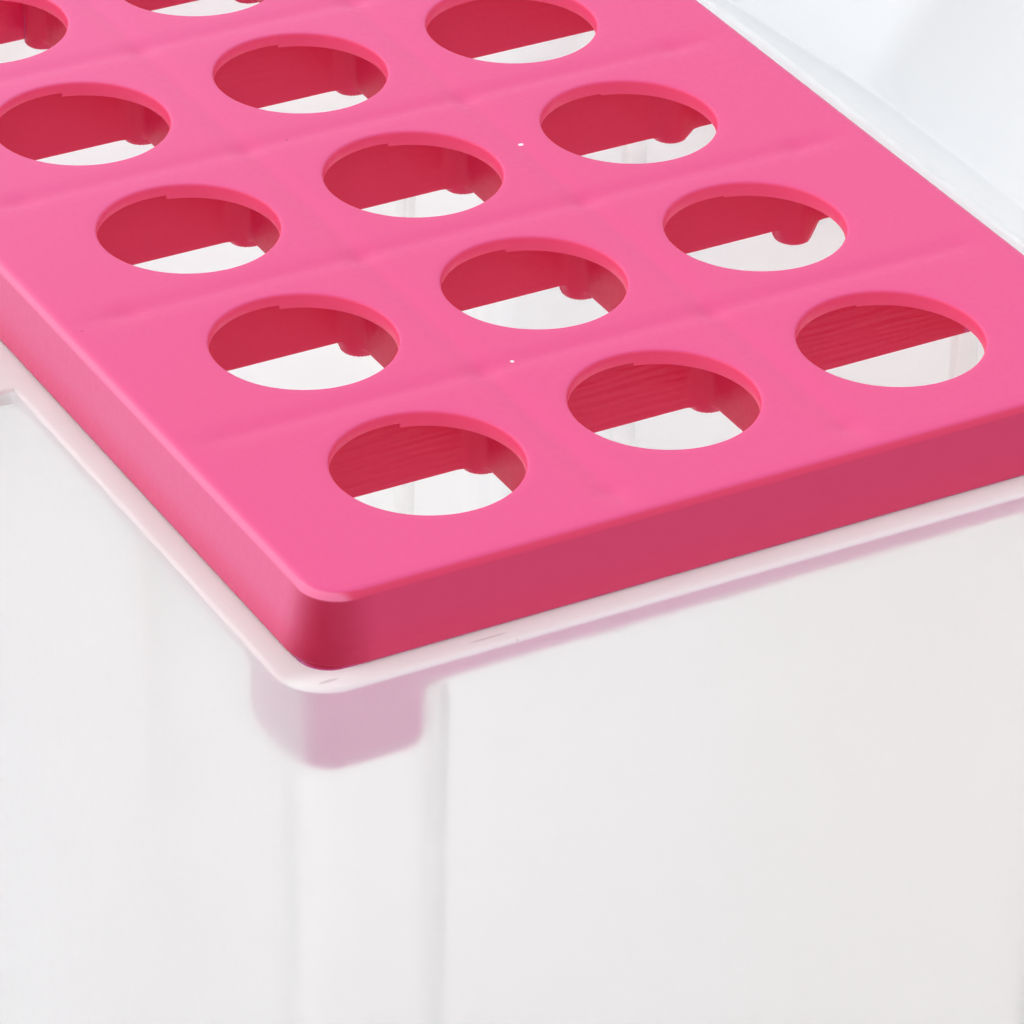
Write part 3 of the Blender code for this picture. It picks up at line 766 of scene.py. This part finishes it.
def mirrored(thing, axis):
    """A copy on the other side of the middle, with its faces turned the right way again."""
    mesh = thing.data.copy()
    mesh.transform(Matrix.Diagonal([-1 if i == axis else 1 for i in range(3)] + [1]))
    mesh.flip_normals()
    copy = bpy.data.objects.new(thing.name, mesh)
    bpy.context.scene.collection.objects.link(copy)
    return copy


end_ribs = [seat_rib(place, BOX_HALF_Y, True) for place in (-END_SEAT_X, END_SEAT_X)]
side_ribs = [seat_rib(place, BOX_HALF_X, False) for place in (-SIDE_SEAT_Y, SIDE_SEAT_Y)]
far_ribs = [mirrored(rib, 1) for rib in end_ribs] + [mirrored(rib, 0) for rib in side_ribs]
join_solids(box, *end_ribs, *side_ribs, *far_ribs)

# %% [markdown]
# ## Lip, ears and bores
# A finger lip stands out of the latch side, level with the rim. On the other side, two pairs of
# ears hold the lid's pins, and a bore goes right through each pair.

# %% The lip and the hinge ears
HINGE_OFFSET = 3.2
HINGE_DROP = 7.0
AXIS_X = BOX_HALF_X + HINGE_OFFSET
AXIS_Z = RIM_HEIGHT - HINGE_DROP
HINGE_SPACING = 76.0
HINGES = (-HINGE_SPACING / 2, HINGE_SPACING / 2)
KNUCKLE_RADIUS = 2.5
KNUCKLE_LENGTH = 9.0
PIN_RADIUS = 1.2
EAR_RADIUS = 2.8
EAR_THICKNESS = 2.5
EAR_ROOT_DROP = 7.0
FIT = 0.3
LIP_WIDTH = 17.6
LIP_THICKNESS = 1.6
LIP_CORNER_RADIUS = 2.5
LIP_EDGE = 0.35
HINGE_EDGE = 0.25
EAR_OFFSET = KNUCKLE_LENGTH / 2 + FIT + EAR_THICKNESS / 2


def lip(name, edge_x, reach, low, wall):
    """A finger lip that faces -X, with round outer corners and its root inside the wall."""
    far = edge_x - reach + LIP_CORNER_RADIUS
    side = LIP_WIDTH / 2 - LIP_CORNER_RADIUS
    root = edge_x + wall / 2
    ring = np.concatenate(([(root, -LIP_WIDTH / 2), (root, LIP_WIDTH / 2)],
                           arc_points((far, side), LIP_CORNER_RADIUS, 90, 180, 8),
                           arc_points((far, -side), LIP_CORNER_RADIUS, 180, 270, 8)))
    return prism(name, ring, low, low + LIP_THICKNESS, edge=LIP_EDGE)


def ear(middle):
    """One ear: round about the hinge axis, with a root that runs down the wall."""
    root = BOX_HALF_X - BOX_WALL / 2
    ring = np.concatenate(([(root, AXIS_Z - EAR_ROOT_DROP)],
                           arc_points((AXIS_X, AXIS_Z), EAR_RADIUS, -60, 90, 20),
                           [(root, AXIS_Z + EAR_RADIUS)]))
    return prism("ear", ring, middle - EAR_THICKNESS / 2, middle + EAR_THICKNESS / 2, "Y", HINGE_EDGE)


def round_bars(name, centre, radius, half_length, edge=0.0):
    """A bar along Y at each hinge, about a centre in x and z."""
    ring = arc_points(centre, radius, 0, 360, 40)[:-1]
    bars = [prism(name, ring, -half_length, half_length, "Y", edge) for _ in HINGES]
    for bar, hinge in zip(bars, HINGES):
        bar.data.transform(Matrix.Translation(Vector((0, hinge, 0)) * MM))
    return bars


ears = [ear(hinge + side * EAR_OFFSET) for hinge in HINGES for side in (-1, 1)]
join_solids(box, lip("box_lip", -BOX_HALF_X, LIP_REACH, RIM_HEIGHT - LIP_THICKNESS, BOX_WALL), *ears)
bores = round_bars("bore", (AXIS_X, AXIS_Z), PIN_RADIUS + FIT, EAR_OFFSET + EAR_THICKNESS)
join_solids(box, *bores, operation="DIFFERENCE")
smooth(box)

# %% [markdown]
# ## The lid
# The lid is a shallow shell with a rounder edge at its top. It is easiest to make closed, with the
# hinge axis as the origin, and then to swing the finished mesh open about that axis.

# %% The lid's shell
LID_WALL = 1.8
LID_CEILING = 2.0
LID_TAPER = 1.0
LID_EDGE_RADIUS = 4.0
LID_LIP_REACH = 6.0
LID_RIM_EDGE = 0.35
LID_WALL_RINGS = 10
LID_FOOT = HINGE_DROP + FIT
LID_TOP = LID_FOOT + 42.0


def lid_draw(level):
    """How far the lid's wall is drawn in: 0 at its foot and the whole taper where its edge begins."""
    return LID_TAPER * np.clip((level - LID_FOOT) / (LID_TOP - LID_EDGE_RADIUS - LID_FOOT), 0, 1)


def lid_skin():
    """The lid's shell: the inside from the ceiling down, the foot, and the outside up to the top."""
    inner_round = LID_EDGE_RADIUS - LID_WALL
    inner_top = LID_TOP - LID_CEILING - inner_round
    outer_top = LID_TOP - LID_EDGE_RADIUS
    foot = LID_FOOT + LID_RIM_EDGE
    inside = np.concatenate((arc_points((-inner_round, inner_top), inner_round, 90, 0, 8),
                             straight(inner_top, foot, LID_WALL_RINGS),
                             arc_points((LID_RIM_EDGE, foot), LID_RIM_EDGE, 180, 270, 4)[1:]))
    outside = np.concatenate((arc_points((-LID_RIM_EDGE, foot), LID_RIM_EDGE, -90, 0, 4),
                              straight(foot, outer_top, LID_WALL_RINGS),
                              arc_points((-LID_EDGE_RADIUS, outer_top), LID_EDGE_RADIUS, 0, 90, 12)[1:]))
    inner = leaning_rings(BOX_HALF - LID_WALL, CAVITY_CORNER_RADIUS, inside, lid_draw)
    outer = leaning_rings(BOX_HALF, BOX_CORNER_RADIUS, outside, lid_draw)
    for rings in (inner, outer):
        rings[..., 0] -= AXIS_X
    return shell("lid_moulding", inner, outer)


lid = lid_skin()

# %% Arms, heels, pins and the lid's own lip
OPEN_ANGLE = radians(130.0)
ARM_HEIGHT = 8.0
ARM_ROOT = 1.0
HEEL_WIDTH = 2.4
HEEL_INSET = 0.5
HEEL_EDGE = 0.15
PIN_EDGE = 0.2


def arm(hinge):
    """One arm: a knuckle about the axis that runs up the back of the lid."""
    wall = -HINGE_OFFSET - ARM_ROOT
    top = LID_FOOT + ARM_HEIGHT
    corners = [(-KNUCKLE_RADIUS, LID_FOOT), (wall, LID_FOOT), (wall, top), (wall + 2 * ARM_ROOT, top)]
    ring = np.concatenate((corners, arc_points((0, 0), KNUCKLE_RADIUS, 35, -180, 28)))
    return prism("arm", ring, hinge - KNUCKLE_LENGTH / 2, hinge + KNUCKLE_LENGTH / 2, "Y", HINGE_EDGE)


def heel(hinge):
    """The heel that meets the box's wall when the lid is right open."""
    along = np.array([cos(OPEN_ANGLE + pi), sin(OPEN_ANGLE + pi)])
    side = np.array([-along[1], along[0]]) * HEEL_WIDTH / 2
    near, far = along * (KNUCKLE_RADIUS - HEEL_INSET), along * (HINGE_OFFSET - FIT)
    half = KNUCKLE_LENGTH / 2 - HEEL_INSET
    return prism("heel", [near - side, far - side, far + side, near + side], hinge - half, hinge + half,
                 "Y", HEEL_EDGE)


arms = [make(hinge) for make in (arm, heel) for hinge in HINGES]
pins = round_bars("pin", (0, 0), PIN_RADIUS, EAR_OFFSET + EAR_THICKNESS / 2, PIN_EDGE)
lid_lip = lip("lid_lip", -AXIS_X - BOX_HALF_X, LID_LIP_REACH, LID_FOOT, LID_WALL)
join_solids(lid, lid_lip, *arms, *pins)
swing = Matrix.Translation(Vector((AXIS_X, 0, AXIS_Z)) * MM) @ Matrix.Rotation(OPEN_ANGLE, 4, "Y")
lid.data.transform(swing)
smooth(lid)

# %% [markdown]
# ## Each moulding takes its solid's place
# A piece replaces the plain solid and rides with its body. The tray only
# rests in the box, so it rides with the box.

# %% Replace and ride
for piece, node, body, slot in (
        (tray, "tip_tray", "box", "tray_plastic"),
        (box, "box_base", "box", "box_plastic"),
        (lid, "hinged_lid", "lid", "lid_plastic")):
    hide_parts(node)
    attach(piece, body)

# %% [markdown]
# ## Writing shader maths as plain expressions
# A node tree is a set of boxes and wires, which is slow to read as code. Here one small class
# stands for a wire: adding or multiplying two wires adds the Math node that does it, so a mask
# reads like a formula. Every other node comes from one method.

# %% A wire that knows arithmetic
def operator(operation, turned=False):
    """What Python calls for an operator such as + on a wire. The turned form is for 1 - mask, where
    the number comes first."""
    if turned:
        return lambda self, other: self.maths(operation, other, self)
    return lambda self, other: self.maths(operation, self, other)


class Wire:
    """One output of a node. Plain arithmetic on wires adds Math nodes to the same tree."""

    def __init__(self, tree, socket=None):
        self.tree = tree
        self.socket = socket

    def node(self, kind, settings=None, inputs=None, output=0):
        """Add a node: its settings first, then numbers or wires for its sockets."""
        made = self.tree.nodes.new(kind)
        for key, value in (settings or {}).items():
            setattr(made, key, value)
        for key, value in (inputs or {}).items():
            if isinstance(value, Wire):
                self.tree.links.new(value.socket, made.inputs[key])
            else:
                made.inputs[key].default_value = value
        return Wire(self.tree, made.outputs[output])

    def other(self, output):
        """Another output of the node that this wire comes from."""
        return Wire(self.tree, self.socket.node.outputs[output])

    def maths(self, operation, *values):
        """One Math node on up to three values."""
        return self.node("ShaderNodeMath", {"operation": operation}, dict(enumerate(values)))

    __add__, __radd__ = operator("ADD"), operator("ADD", turned=True)
    __sub__, __rsub__ = operator("SUBTRACT"), operator("SUBTRACT", turned=True)
    __mul__, __rmul__ = operator("MULTIPLY"), operator("MULTIPLY", turned=True)
    __gt__, __lt__ = operator("GREATER_THAN"), operator("LESS_THAN")

    def __neg__(self):
        return 0.0 - self

    def fade(self, start, end, to_min=0.0, to_max=1.0):
        """A smooth step between two values of this wire."""
        inputs = {"Value": self, "From Min": start, "From Max": end, "To Min": to_min, "To Max": to_max}
        return self.node("ShaderNodeMapRange", {"interpolation_type": "SMOOTHSTEP"}, inputs)

    def mix(self, low, high):
        """A colour between two colours, with this wire as the share of the second."""
        return self.node("ShaderNodeMix", {"data_type": "RGBA"}, {"Factor": self, 6: low, 7: high}, output=2)

    def axis(self, name):
        """One component of a vector."""
        return self.node("ShaderNodeSeparateXYZ", None, {0: self}, output="XYZ".index(name))

    def along(self, operation, *others):
        """A number from Vector Math: a dot product or a length."""
        inputs = dict(enumerate((self, *others)))
        return self.node("ShaderNodeVectorMath", {"operation": operation}, inputs, output=1)


def colour(red, green, blue):
    """A colour for a socket, with linear values from 0 to 1."""
    return (red, green, blue, 1.0)


def painted(made, end, shade, *choices):
    """Give a material or a world the shader that a function builds from its tree's first wire."""
    made.use_nodes = True
    tree = made.node_tree
    tree.nodes.clear()
    surface = shade(Wire(tree), *choices)
    tree.links.new(surface.socket, tree.nodes.new(end).inputs["Surface"])
    print(made.name, "has", len(tree.nodes), "nodes")
    return made


def finish(name, shade, *choices):
    """A new material."""
    return painted(bpy.data.materials.new(name), "ShaderNodeOutputMaterial", shade, *choices)


# %% Patterns that more than one plastic uses
def place(start):
    """Where a point lies on the object, in metres."""
    return start.node("ShaderNodeTexCoord", output=3)


def stretched(vector, scale, shift=(0.0, 0.0, 0.0)):
    """The same place with each axis scaled, which stretches the pattern that reads it."""
    return vector.node("ShaderNodeMapping", None, {"Vector": vector, "Scale": scale, "Location": shift})


def noise(vector, per_metre, detail=0.0):
    """Soft noise from 0 to 1 with a number of waves per metre."""
    return vector.node("ShaderNodeTexNoise", None, {"Vector": vector, "Scale": per_metre, "Detail": detail})


def specks(vector, per_metre, size, share):
    """Small dots: near the centre of a Voronoi cell, in those cells whose random colour is under the
    wanted share. The size is a share of a cell."""
    cell = vector.node("ShaderNodeTexVoronoi", None, {"Vector": vector, "Scale": per_metre})
    return (cell.other("Color").axis("X") < share) * cell.fade(size, size * 0.5)


def mark(vector, centre, reach):
    """One soft spot: 1 at its centre and 0 past its reach along each axis, in millimetres."""
    shift = tuple(-c / r for c, r in zip(centre, reach))
    scale = tuple(1 / (r * MM) for r in reach)
    return stretched(vector, scale, shift).along("LENGTH").fade(1.0, 0.5)


def bump(height, strength, distance):
    """A Bump node: height 1 stands out by the given distance in metres."""
    return height.node("ShaderNodeBump", None, {"Height": height, "Strength": strength, "Distance": distance})


def principled(start, inputs):
    """A Principled BSDF with these inputs."""
    return start.node("ShaderNodeBsdfPrincipled", None, inputs)


# %% [markdown]
# ## Pink polypropylene
# The tray's plastic is dyed right through and lets a little light in, but here light and shade are
# painted into its colours. The far left of the top is painted lighter, the side is painted lit where
# it faces left and shaded elsewhere, and its foot above the rim and the outer corners are painted
# darker. Under the plate the faces are painted in shade, the plate's edge in the holes has a painted
# glow, and the rolled edge has a painted highlight where it faces left and painted shade elsewhere.
# The top was moulded against matt steel, which leaves a faint grain, and the cutter that made the
# cores left fine wavy lines on the ribs' faces. Flecks of dust lie here and there.

# %% The pink plastic's colours
PINK_TOP = colour(0.78, 0.086, 0.258)
# Painted light: the top's far left part is painted lighter and paler, standing in for more light and sheen
# there.
PINK_FAR_LIGHT = colour(0.81, 0.135, 0.335)
# Painted light and shade on the leaning side: lighter where it faces left, deeper and darker elsewhere.
PINK_SHADED_SIDE = colour(0.63, 0.042, 0.130)
PINK_LIT_SIDE = colour(0.67, 0.110, 0.245)
# Painted shade: the outer corners of the side are painted darkest.
PINK_CORNER_SHADE = colour(0.41, 0.006, 0.045)
# Painted shade and glow under the plate: faces deep below it are painted darker and redder, the plate's edge
# in the holes brighter.
PINK_RIB_SHADE = colour(0.66, 0.024, 0.090)
PINK_HOLE_EDGE_GLOW = colour(0.85, 0.070, 0.185)
PINK_SKIRT = colour(0.58, 0.100, 0.300)
# Painted shade: the side is painted darker towards its foot, just above the box's rim.
PINK_LOW_SHADE = colour(0.66, 0.034, 0.105)
# Painted highlight and shade on the rolled edge: lighter where it faces left, darker on the rest.
PINK_CREST_HIGHLIGHT = colour(0.85, 0.170, 0.330)
PINK_FOLD_SHADE = colour(0.74, 0.050, 0.135)
STAIN = colour(0.50, 0.030, 0.100)
DUST = colour(0.93, 0.88, 0.89)

# %% Where the pink changes
# Places and reaches, in metres.
CORNER_REACH = 5.0 * MM
SIDE_FROM = 3.5 * MM
SIDE_REACH = 0.5 * MM
RIM_AT = RIM_HEIGHT * MM
PLATE_UNDER = (TRAY_TOP - 2.0) * MM
# Where the painted shade at the side's foot fades in, and how much of it.
LOW_SPAN = (RIM_AT + 3.2 * MM, RIM_AT + 0.4 * MM)
LOW_SHARE = 0.45
SKIRT_SPAN = (RIM_AT - 0.4 * MM, RIM_AT - 0.1 * MM)
EDGE_SPAN = (PLATE_UNDER - 0.4 * MM, PLATE_UNDER + 0.6 * MM)
FAR_SPAN = (-0.02, 0.10)
FAR_LEAN = 0.6
# How far a face looks up, to the left or to the front: 0 is not at all and 1 is straight on.
TOP_TURN = (0.45, 0.98)
FOLD_BEGINS = (0.30, 0.55)
FOLD_ENDS = (0.75, 0.97)
LEFT_TURN = (0.25, 0.95)
# How far the rolled edge must face left to take the painted highlight.
HIGHLIGHT_TURN = (0.05, 0.30)
FRONT_TURN = (0.90, 0.99)
# The cutter's lines: waves per metre, how flat they are, how they bend, and from where they fade.
LINES_PER_METRE = 2100.0
LINES_FLAT = 0.1
BEND_PER_METRE = 130.0
BEND = 0.8 * MM
LINES_FROM_Y = -35.0 * MM
LINES_LEFT = 0.25
# Specks: cells per metre, size as a share of a cell, and the share of cells that hold one.
STAIN_SPECKS = (260.0, 0.055, 0.05)
STAIN_SHIFT = (0.3, 0.1, 0.2)
DUST_SPECKS = (230.0, 0.06, 0.025)
FLECK = ((10.7, 0.7, TRAY_TOP), (0.35, 0.3, 0.5))
PINK_RELIEF = 0.08 * MM


# %% The pink plastic
def beyond(wire, start, reach):
    """How far a place lies outside a distance from the middle plane: 0 inside, 1 at the reach."""
    return wire.maths("ABSOLUTE", wire).fade(start, start + reach)


def cutter_lines(spot, normal):
    """Wavy level lines on the cross ribs near the corner: noise stretched level, bent by slower noise."""
    height = spot.axis("Z")
    bent = height + BEND * noise(spot, BEND_PER_METRE, 1.0)
    level = spot.node("ShaderNodeCombineXYZ", None, {"X": LINES_FLAT * spot.axis("X"), "Y": 0.0, "Z": bent})
    near = spot.axis("Y").fade(LINES_FROM_Y, LINES_FROM_Y + PITCH * MM, 1.0, LINES_LEFT)
    across = (-normal.axis("Y")).fade(*FRONT_TURN)
    return noise(level, LINES_PER_METRE) * across * near * height.fade(PLATE_UNDER, PLATE_UNDER - MM)


def pink_plastic(start):
    """Dyed plastic: matt top, painted light and shade on the sides, corners, rolled edge and ribs, cutter
    lines, stains and dust.
    """
    spot = place(start)
    normal = start.node("ShaderNodeNewGeometry", output=1)
    x, y, height = (spot.axis(name) for name in "XYZ")
    up, left = normal.axis("Z"), -normal.axis("X")
    # Where the painted corner shade lies: near an end and a side at once.
    corner = beyond(x, HALF_WIDTH * MM - CORNER_REACH, CORNER_REACH) \
        * beyond(y, HALF_LENGTH * MM - CORNER_REACH, CORNER_REACH)
    outside = beyond(x, HALF_WIDTH * MM - SIDE_FROM, SIDE_REACH) \
        + beyond(y, HALF_LENGTH * MM - SIDE_FROM, SIDE_REACH)
    # Painted light and shade: the side is painted lit where it faces left and shaded where it faces
    # elsewhere.
    wall = left.fade(*LEFT_TURN).mix(PINK_SHADED_SIDE, PINK_LIT_SIDE)
    # Painted shade: darker towards the foot of the side, above the rim.
    wall = height.fade(*LOW_SPAN, 0.0, LOW_SHARE).mix(wall, PINK_LOW_SHADE)
    # Painted shade: the outer corners of the side are painted darker; below the rim it is the skirt's colour.
    wall = height.fade(*SKIRT_SPAN).mix(PINK_SKIRT, corner.mix(wall, PINK_CORNER_SHADE))
    # Painted shade on the faces under the plate, and a painted glow on the plate's edge in the holes.
    inner = height.fade(*EDGE_SPAN).mix(PINK_RIB_SHADE, PINK_HOLE_EDGE_GLOW)
    side = (outside * (spot.along("DOT_PRODUCT", normal) > 0.0)).mix(inner, wall)
    # Painted light: the top turns lighter towards its far left.
    top = (y - FAR_LEAN * x).fade(*FAR_SPAN).mix(PINK_TOP, PINK_FAR_LIGHT)
    body = up.fade(*TOP_TURN).mix(side, top)
    # Painted highlight on the rolled edge where it faces left, and painted shade on the rest of it.
    fold = (up.fade(*FOLD_BEGINS) - up.fade(*FOLD_ENDS)) * outside
    body = fold.mix(body, left.fade(*HIGHLIGHT_TURN).mix(PINK_FOLD_SHADE, PINK_CREST_HIGHLIGHT))
    body = specks(stretched(spot, (1.0, 1.0, 1.0), STAIN_SHIFT), *STAIN_SPECKS).mix(body, STAIN)
    grain = noise(spot, 1500.0, 1.0)
    dust = specks(spot, *DUST_SPECKS) + mark(spot, *FLECK)
    lines = cutter_lines(spot, normal) * (1.0 - outside)
    return principled(start, {
        "Base Color": dust.mix(body, DUST),
        "Roughness": grain.fade(0.2, 0.8, 0.36, 0.46),
        "IOR": 1.49,
        "Specular IOR Level": 0.25,
        "Normal": bump(0.25 * grain + lines, 1.0, PINK_RELIEF),
    })


# %% [markdown]
# ## Milky polypropylene
# Without dye the same plastic is milky: it passes most light but scatters it, so what touches the
# wall shows through as a soft ghost and what lies further off melts into white. Rough
# transmission gives that blur, and the share left over is the plastic's own white. Light scatters
# many times in such a wall and leaves it straighter than one clear surface would send it, so
# the refraction is set lower than the clear plastic's.

# %% The milky plastic of box and lid
BOX_MILK = (colour(0.99, 0.985, 0.985), colour(0.985, 0.975, 0.965))
LID_MILK = (colour(0.97, 0.985, 1.0), colour(0.99, 0.99, 1.0))
# Painted shade on the box's rim band: a darker pinkish grey for the shade and pink light it gets from the
# tray, lifted to nearly white at the front.
RIM_PINK_SHADE = colour(0.81, 0.71, 0.72)
RIM_FRONT = colour(0.99, 0.97, 0.96)
FRONT_SPAN = ((BOX_HALF_Y - 4.0) * MM, (BOX_HALF_Y - 1.5) * MM)
RIM_SPAN = (RIM_AT - 0.5 * MM, RIM_AT - 0.25 * MM)
GRIT = colour(0.55, 0.50, 0.48)
GRIT_SPECKS = (110.0, 0.028, 0.05)
MILK_IOR = 1.2
MILK_RELIEF = 0.03 * MM
FLOW_STRETCH = (1.0, 1.0, 0.12)
RIM_MARKS = (
    ((-40.0, -60.6, RIM_HEIGHT), (1.1, 0.25, 0.4)),
    ((-26.1, -60.9, RIM_HEIGHT), (2.2, 0.14, 0.5)),
    ((-24.1, -62.1, RIM_HEIGHT), (0.3, 0.3, 0.5)),
)


def milky_plastic(start, milk, transmission, band_transmission, roughness):
    """Undyed translucent plastic with faint flow bands, a fine grain and a few dark specks. Along the
    box's rim, where one looks into the wall's full depth, it lets less through, and its colour there
    is painted shade: a pinkish grey, lifted to nearly white at the front."""
    spot = place(start)
    flow = noise(stretched(spot, FLOW_STRETCH), 38.0)
    grain = noise(spot, 800.0)
    grit = specks(spot, *GRIT_SPECKS)
    for centre, reach in RIM_MARKS:
        grit = grit + 0.5 * mark(spot, centre, reach)
    inputs = {
        "Base Color": grit.mix(flow.fade(0.35, 0.7).mix(*milk), GRIT),
        "Roughness": grain.fade(0.25, 0.75, roughness - 0.03, roughness + 0.03),
        "IOR": MILK_IOR,
        "Transmission Weight": transmission,
        "Normal": bump(grain, 0.25, MILK_RELIEF),
    }
    body = principled(start, inputs)
    front = (-spot.axis("Y")).fade(*FRONT_SPAN)
    # Painted shade: the rim band is pinkish grey, and nearly white at the front.
    inputs["Base Color"] = grit.mix(front.mix(RIM_PINK_SHADE, RIM_FRONT), GRIT)
    inputs["Transmission Weight"] = band_transmission
    band = principled(start, inputs)
    rim = spot.axis("Z").fade(*RIM_SPAN) * (spot.axis("X") < BOX_HALF_X * MM)
    return start.node("ShaderNodeMixShader", None, {0: rim, 1: body, 2: band})


# %% Each piece gets its plastic
for piece, plastic in (
        (tray, finish("pink_polypropylene", pink_plastic)),
        (box, finish("milky_box_polypropylene", milky_plastic, BOX_MILK, 0.8, 0.3, 0.58)),
        (lid, finish("milky_lid_polypropylene", milky_plastic, LID_MILK, 0.5, 0.5, 0.45))):
    piece.data.materials.clear()
    piece.data.materials.append(plastic)

# %% [markdown]
# ## Camera
# The photograph looks down on one corner from close by, with a long lens. The place was found by
# matching five known corners, so it is given as a place, a target on the tray's top and a roll.

# %% Stand the camera where the photograph was taken
CAMERA_PLACE = Vector((-193.720, -360.823, 364.214)) * MM
CAMERA_TARGET = Vector((-20.213, -53.792, 146.0)) * MM
CAMERA_ROLL = radians(1.18687)
LENS = 184.192
SENSOR = 36.0

camera = bpy.data.objects.new("camera", bpy.data.cameras.new("camera"))
camera.data.lens = LENS
camera.data.sensor_width = SENSOR
camera.data.clip_start = 0.01
aim = (CAMERA_TARGET - CAMERA_PLACE).to_track_quat("-Z", "Y").to_matrix().to_4x4()
camera.matrix_world = Matrix.Translation(CAMERA_PLACE) @ aim @ Matrix.Rotation(CAMERA_ROLL, 4, "Z")
bpy.context.scene.collection.objects.link(camera)
bpy.context.scene.camera = camera
print("camera to target", (CAMERA_TARGET - CAMERA_PLACE).length / MM, "mm")

# %% [markdown]
# ## Floor and light
# The floor is a pale disc, a hair's breadth under the box, so that light still gets under its edge.
# The light comes from a room with pale walls, a little brighter above and behind, and with one
# large soft window behind on the left. The window gives the dents in the tray their two sides.

# %% A pale floor
FLOOR_GAP = 0.35
FLOOR_RADIUS = 2500.0
FLOOR_RINGS = 8
FLOOR_POINTS = 96


def floor_disc():
    """A flat disc under the box: rings of growing radius round the middle."""
    angle = np.linspace(0, 2 * pi, FLOOR_POINTS, endpoint=False)
    reach = np.linspace(0.02, 1, FLOOR_RINGS) * FLOOR_RADIUS
    flat = reach[:, None, None] * np.stack((np.cos(angle), np.sin(angle)), axis=-1)
    points = stack(flat, -FLOOR_GAP)
    skin = Skin()
    skin.grid(points)
    skin.cap(points[0])
    return skin.finish("floor")


def floor_paper(start):
    """Matt, nearly white paper."""
    fibre = noise(place(start), 40.0, 3.0)
    pale = fibre.mix(colour(0.82, 0.82, 0.83), colour(0.86, 0.86, 0.87))
    return principled(start, {"Base Color": pale, "Roughness": 0.7})


floor = floor_disc()
floor.data.materials.append(finish("pale_floor", floor_paper))

# %% Soft light from a room
ROOM_WHITE = colour(0.985, 0.99, 1.0)
ROOM_LEVEL = 0.86
ROOM_LEAN = (-0.10, 0.10, 0.12)
WINDOW = (-0.60, 0.66, 0.45)
WINDOW_SPAN = (0.55, 0.95)
WINDOW_LEVEL = 1.15


def soft_room(start):
    """Light mostly from above, the left and behind, and plain white where the room is seen directly
    or through the milky walls."""
    way = start.node("ShaderNodeTexCoord")
    window = way.along("DOT_PRODUCT", WINDOW).fade(*WINDOW_SPAN)
    fill = ROOM_LEVEL + way.along("DOT_PRODUCT", ROOM_LEAN) + WINDOW_LEVEL * window
    camera_ray = start.node("ShaderNodeLightPath")
    seen = camera_ray + camera_ray.other("Is Transmission Ray")
    seen = seen.maths("MINIMUM", seen, 1.0)
    strength = fill + seen * (1.0 - fill)
    return start.node("ShaderNodeBackground", None, {"Color": ROOM_WHITE, "Strength": strength})


scene = bpy.context.scene
scene.world = painted(bpy.data.worlds.new("soft_room"), "ShaderNodeOutputWorld", soft_room)
scene.world.cycles.sampling_method = "NONE"

# %% [markdown]
# ## Light that bounces
# Inside a milky box light bounces dozens of times, which takes long to follow. Two bounces are
# followed in full. After them the ray takes the light of the room, unless something touches it.

# %% Follow two bounces, then take the room's light
FULL_BOUNCES = 2
scene.cycles.use_fast_gi = True
scene.cycles.fast_gi_method = "REPLACE"
scene.cycles.ao_bounces = FULL_BOUNCES
scene.cycles.ao_bounces_render = FULL_BOUNCES
scene.world.light_settings.distance = 0.3 * MM
scene.view_settings.view_transform = "Standard"
